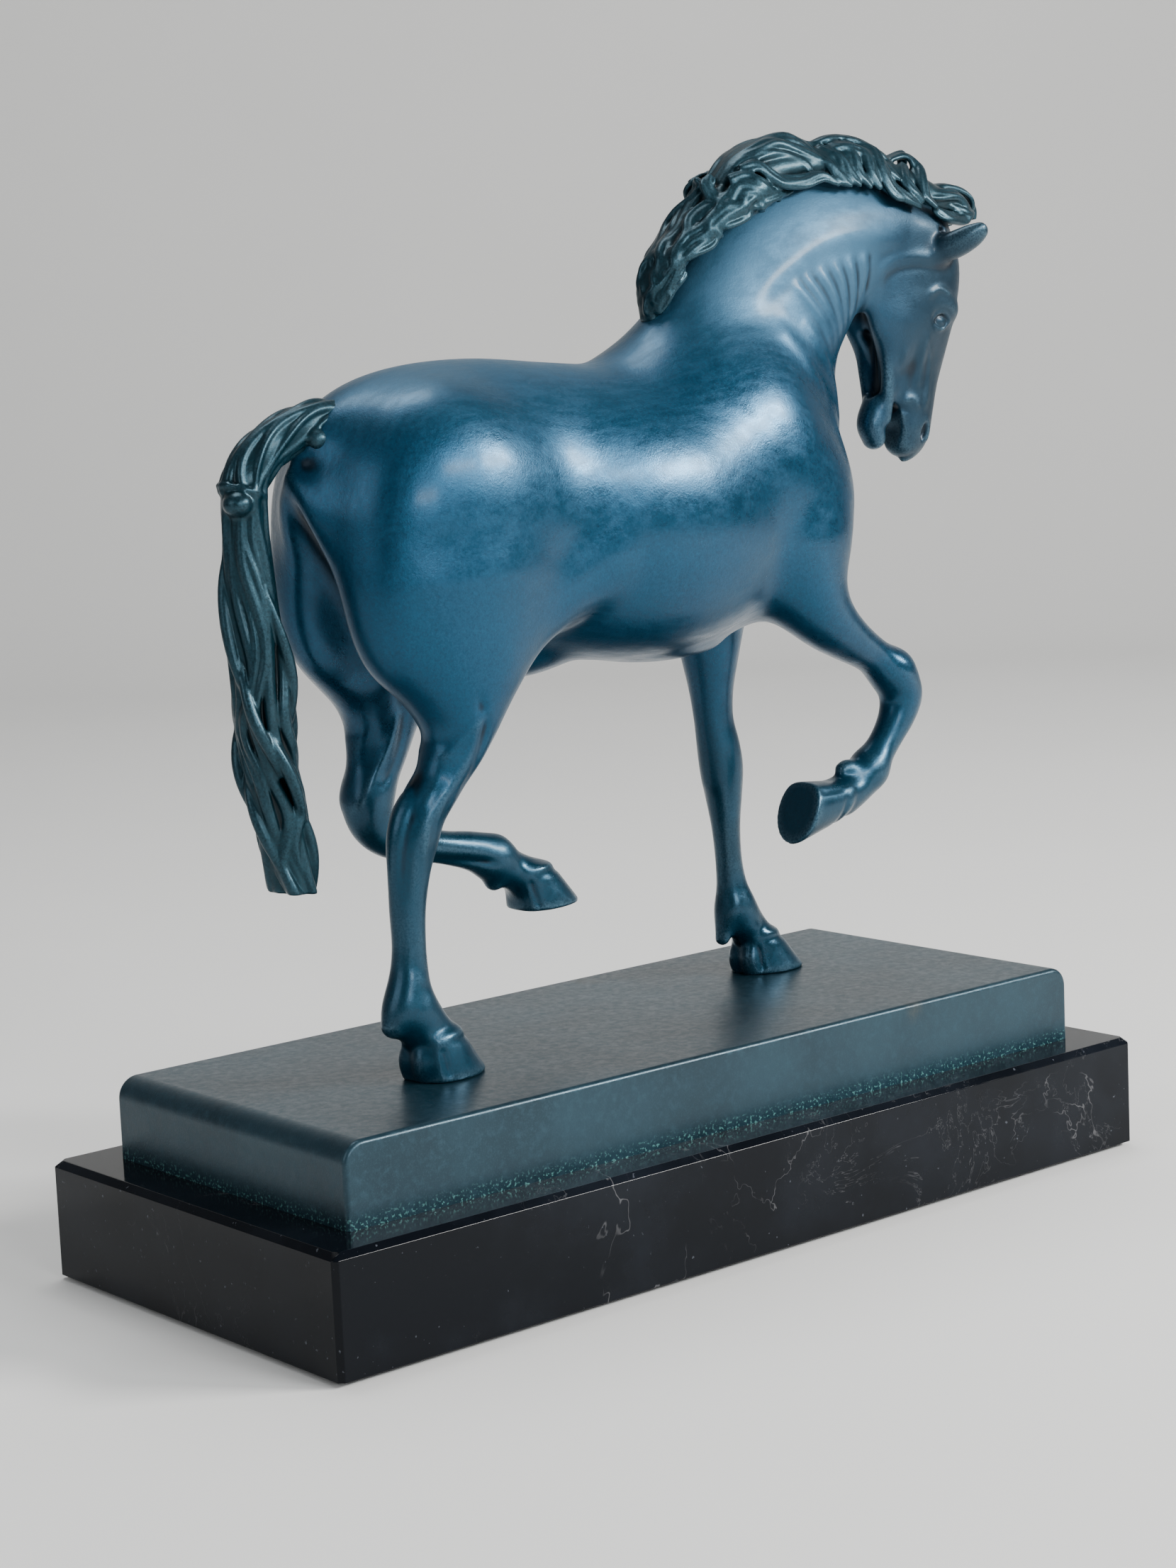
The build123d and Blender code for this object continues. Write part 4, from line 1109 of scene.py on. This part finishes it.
def felt():
    n = Nodes("black_felt")
    fibre = n.noise(2600, 4, 0.75, 1.5)
    colour = n.blend(n.ramp(fibre, 0.35, 0.7), (0.006, 0.006, 0.007), (0.03, 0.03, 0.033))
    return n.finish(Base_Color=colour, Roughness=n.ramp(fibre, 0.3, 0.7, 0.85, 1),
                    Normal=n.bump(fibre, 0.6, 0.0004), Sheen_Weight=0.3)


def raw_bronze():
    n = Nodes("raw_bronze")
    cast = n.noise(700, 5, 0.65)
    colour = n.blend(n.ramp(cast, 0.35, 0.7), (0.2, 0.11, 0.045), (0.42, 0.25, 0.11))
    return n.finish(Base_Color=colour, Roughness=n.ramp(cast, 0.3, 0.7, 0.38, 0.58), Metallic=1,
                    Normal=n.bump(cast, 0.3, 0.0003))


def zinc():
    n = Nodes("zinc_steel")
    spangle = n.node("TexVoronoi", Vector=n.place, Scale=900).outputs["Distance"]
    colour = n.blend(n.ramp(spangle, 0.1, 0.8), (0.42, 0.43, 0.44), (0.6, 0.61, 0.62))
    turned = n.noise(1800, 3, 0.6, stretch=(1, 1, 0.15))
    return n.finish(Base_Color=colour, Roughness=n.ramp(turned, 0.3, 0.7, 0.3, 0.45), Metallic=1,
                    Normal=n.bump(turned, 0.12, 0.0001))


# ---------------------------------------------------------------- base

TOUCHING = 1e-5  # metres: how far off an edge may be to count as lying on a face
SHARP = math.radians(40)  # edges flatter than this are not rounded
SMOOTH = math.radians(50)  # faces that meet at less than this are shaded as one


def slab(name, node, low, high, bevels, finish_slot, material):
    """A block between two corners, with some of its edges rounded: each bevel is a test on an edge's
    direction and middle, a width and a number of segments."""
    bm = bmesh.new()
    corners = [bm.verts.new((x, y, z))
               for x in (low.x, high.x) for y in (low.y, high.y) for z in (low.z, high.z)]
    for ring in ((0, 1, 3, 2), (4, 6, 7, 5), (0, 4, 5, 1), (2, 3, 7, 6), (0, 2, 6, 4), (1, 5, 7, 3)):
        bm.faces.new([corners[k] for k in ring])
    bmesh.ops.recalc_face_normals(bm, faces=bm.faces)
    for test, width, segments in bevels:
        edges = []
        for e in bm.edges:
            if len(e.link_faces) == 2 and e.calc_face_angle(0) > SHARP:
                a, b = (v.co for v in e.verts)
                if test((b - a).normalized(), (a + b) / 2):
                    edges.append(e)
        bmesh.ops.bevel(bm, geom=edges, offset=width, segments=segments, profile=0.5, affect="EDGES",
                        clamp_overlap=False)
    bmesh.ops.recalc_face_normals(bm, faces=bm.faces)
    mesh = bpy.data.meshes.new(name)
    bm.to_mesh(mesh)
    bm.free()
    mesh.polygons.foreach_set("use_smooth", [True] * len(mesh.polygons))
    mesh.set_sharp_from_angle(angle=SMOOTH)
    obj = new_piece(name, mesh, node, finish_slot, material)
    weighted = obj.modifiers.new("weighted_normals", "WEIGHTED_NORMAL")
    weighted.keep_sharp = True
    weighted.weight = 100


def build_base():
    low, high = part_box("plinth_casting")
    top, side, bottom = high.z - TOUCHING, high.y - TOUCHING, low.z + 10 * TOUCHING
    slab("plinth", "plinth_casting", low, high, [
        (lambda along, middle: abs(along.y) > 0.9 and middle.z > top, 0.0045, 10),
        (lambda along, middle: abs(middle.y) > side and middle.z > bottom, 0.0011, 5),
    ], "plinth_patina_bronze", plinth_patina())
    low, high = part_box("marble_base")
    marble_top = high.z - TOUCHING
    slab("marble", "marble_base", low, high, [
        (lambda along, middle: abs(along.z) < 0.1 and middle.z > marble_top, 0.0012, 1),
        (lambda along, middle: abs(along.z) > 0.5 and middle.z < marble_top, 0.001, 1),
        (lambda along, middle: True, 0.00016, 2),
    ], "black_marble", marble())
    low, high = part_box("felt_pad")
    slab("felt", "felt_pad", low, high, [
        (lambda along, middle: abs(along.z) > 0.9, 0.0015, 4),
        (lambda along, middle: True, 0.0002, 2),
    ], "black_felt", felt())


def finish_cad_nodes(bronze):
    """The pieces that the castings and the base hide keep their CAD meshes."""
    for finish_slot, material, nodes in (
        ("blue_patina_bronze", bronze, ("core_plugs",)),
        ("raw_bronze", raw_bronze(),
         ("neck_joint_sleeve", "head_joint_pin", "leg_joint_dowels", "tail_joint_pin")),
        ("zinc_steel", zinc(),
         ("hoof_studs", "hoof_stud_washers", "hoof_stud_nuts", "base_bolts", "base_washers")),
    ):
        for node in nodes:
            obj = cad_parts[node]
            obj.data.materials.clear()
            obj.data.materials.append(material)


# ---------------------------------------------------------------- floor, lights and camera

# The camera: place in metres, turned from looking along +Y, tilted down, and rolled.
CAMERA_PLACE = (-0.41588, -0.48734, 0.18607)
CAMERA_YAW = math.radians(-40.127)
CAMERA_DOWN = math.radians(8.147)
CAMERA_ROLL = math.radians(-2.452)
CAMERA_LENS = 69.04
FLOOR_HALF_WIDTH = 2.2
FLOOR_FRONT, FLOOR_BACK = -1.3, 1.1  # the flat part of the floor, along the camera's view
BACKDROP_RADIUS = 0.5
BACKDROP_TOP = 2.4
BACKDROP_STEPS = 24
AIM = (0, 0, 0.14)  # the point that the lights face
WARM, COOL, SKY = (1, 0.99, 0.97), (0.95, 0.98, 1), (0.97, 0.99, 1)
LIGHTS = (  # name, place, width and height, power, colour
    ("key", (0.78, -0.86, 0.66), (0.42, 0.16), 21, WARM),
    ("side", (0.33, -1.24, 0.72), (0.5, 0.12), 10, COOL),
    ("low", (-0.3, -1.3, 0.42), (0.4, 0.12), 5, COOL),
    ("left", (-1.1, -0.1, 0.55), (0.7, 0.6), 3, COOL),
    ("top", (0.1, 0.3, 1.4), (0.7, 0.5), 9, SKY),
)
SURROUNDINGS, SURROUNDINGS_STRENGTH = (0.88, 0.91, 0.95, 1), 0.22


def build_floor():
    """A pale floor that curves up into a backdrop far behind the object."""
    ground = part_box("felt_pad")[0].z
    profile = [(FLOOR_FRONT, 0.0)]
    for a in np.linspace(0, math.pi / 2, BACKDROP_STEPS):
        profile.append((FLOOR_BACK + BACKDROP_RADIUS * math.sin(a), BACKDROP_RADIUS * (1 - math.cos(a))))
    profile.append((FLOOR_BACK + BACKDROP_RADIUS, BACKDROP_TOP))
    ahead = Vector((-math.sin(CAMERA_YAW), math.cos(CAMERA_YAW), 0))
    across = Vector((math.cos(CAMERA_YAW), math.sin(CAMERA_YAW), 0))
    bm = bmesh.new()
    rows = []
    for d, z in profile:
        middle = d * ahead + Vector((0, 0, z + ground))
        rows.append([bm.verts.new(middle + s * across) for s in (-FLOOR_HALF_WIDTH, FLOOR_HALF_WIDTH)])
    for a, b in zip(rows[:-1], rows[1:]):
        bm.faces.new((a[0], a[1], b[1], b[0]))
    mesh = bpy.data.meshes.new("floor")
    bm.to_mesh(mesh)
    bm.free()
    mesh.polygons.foreach_set("use_smooth", [True] * len(mesh.polygons))
    n = Nodes("floor")
    colour = n.blend(n.noise(6, 3, 0.5), (0.8, 0.79, 0.77), (0.84, 0.83, 0.81))
    mesh.materials.append(n.finish(Base_Color=colour, Roughness=0.75))
    new_object("floor", mesh)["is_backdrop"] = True


def build_lights():
    for name, place, size, power, colour in LIGHTS:
        light = bpy.data.lights.new(name, "AREA")
        light.shape = "RECTANGLE"
        light.size, light.size_y = size
        light.energy = power
        light.color = colour
        obj = new_object(name, light)
        obj.location = place
        obj.rotation_euler = (Vector(AIM) - Vector(place)).to_track_quat("-Z", "Y").to_euler()
    world = bpy.data.worlds.new("studio")
    world.use_nodes = True
    background = world.node_tree.nodes["Background"]
    background.inputs["Color"].default_value = SURROUNDINGS
    background.inputs["Strength"].default_value = SURROUNDINGS_STRENGTH
    bpy.context.scene.world = world


def build_camera():
    a, e, roll = CAMERA_YAW, CAMERA_DOWN, CAMERA_ROLL
    back = Vector((math.sin(a) * math.cos(e), -math.cos(a) * math.cos(e), math.sin(e)))
    right = (-back).cross(Vector((0, 0, 1))).normalized()
    up = right.cross(-back)
    x = right * math.cos(roll) + up * math.sin(roll)
    y = -right * math.sin(roll) + up * math.cos(roll)
    camera = bpy.data.cameras.new("camera")
    camera.lens = CAMERA_LENS
    camera.sensor_fit = "VERTICAL"
    camera.sensor_height = 36
    camera.clip_start = 0.01
    obj = new_object("camera", camera)
    obj.matrix_world = Matrix.Translation(CAMERA_PLACE) @ Matrix((x, y, back)).transposed().to_4x4()
    bpy.context.scene.camera = obj


blue_bronze = patina("blue_patina", deep=(0.001, 0.019, 0.04), mid=(0.001, 0.039, 0.084),
                     pale=(0.006, 0.08, 0.155), worn=(0.08, 0.16, 0.21), shine=0.29)
dark_bronze = patina("hair_patina", deep=(0.001, 0.008, 0.012), mid=(0.001, 0.02, 0.03),
                     pale=(0.005, 0.048, 0.07), worn=(0.03, 0.08, 0.11), shine=0.34, hair=True)
build_castings(blue_bronze, dark_bronze)
build_base()
finish_cad_nodes(blue_bronze)
build_floor()
build_lights()
build_camera()

visual_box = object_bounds()
({name: [list(map(float, corner)) for corner in box]
           for name, box in (("cad", cad_box), ("visual", visual_box))})
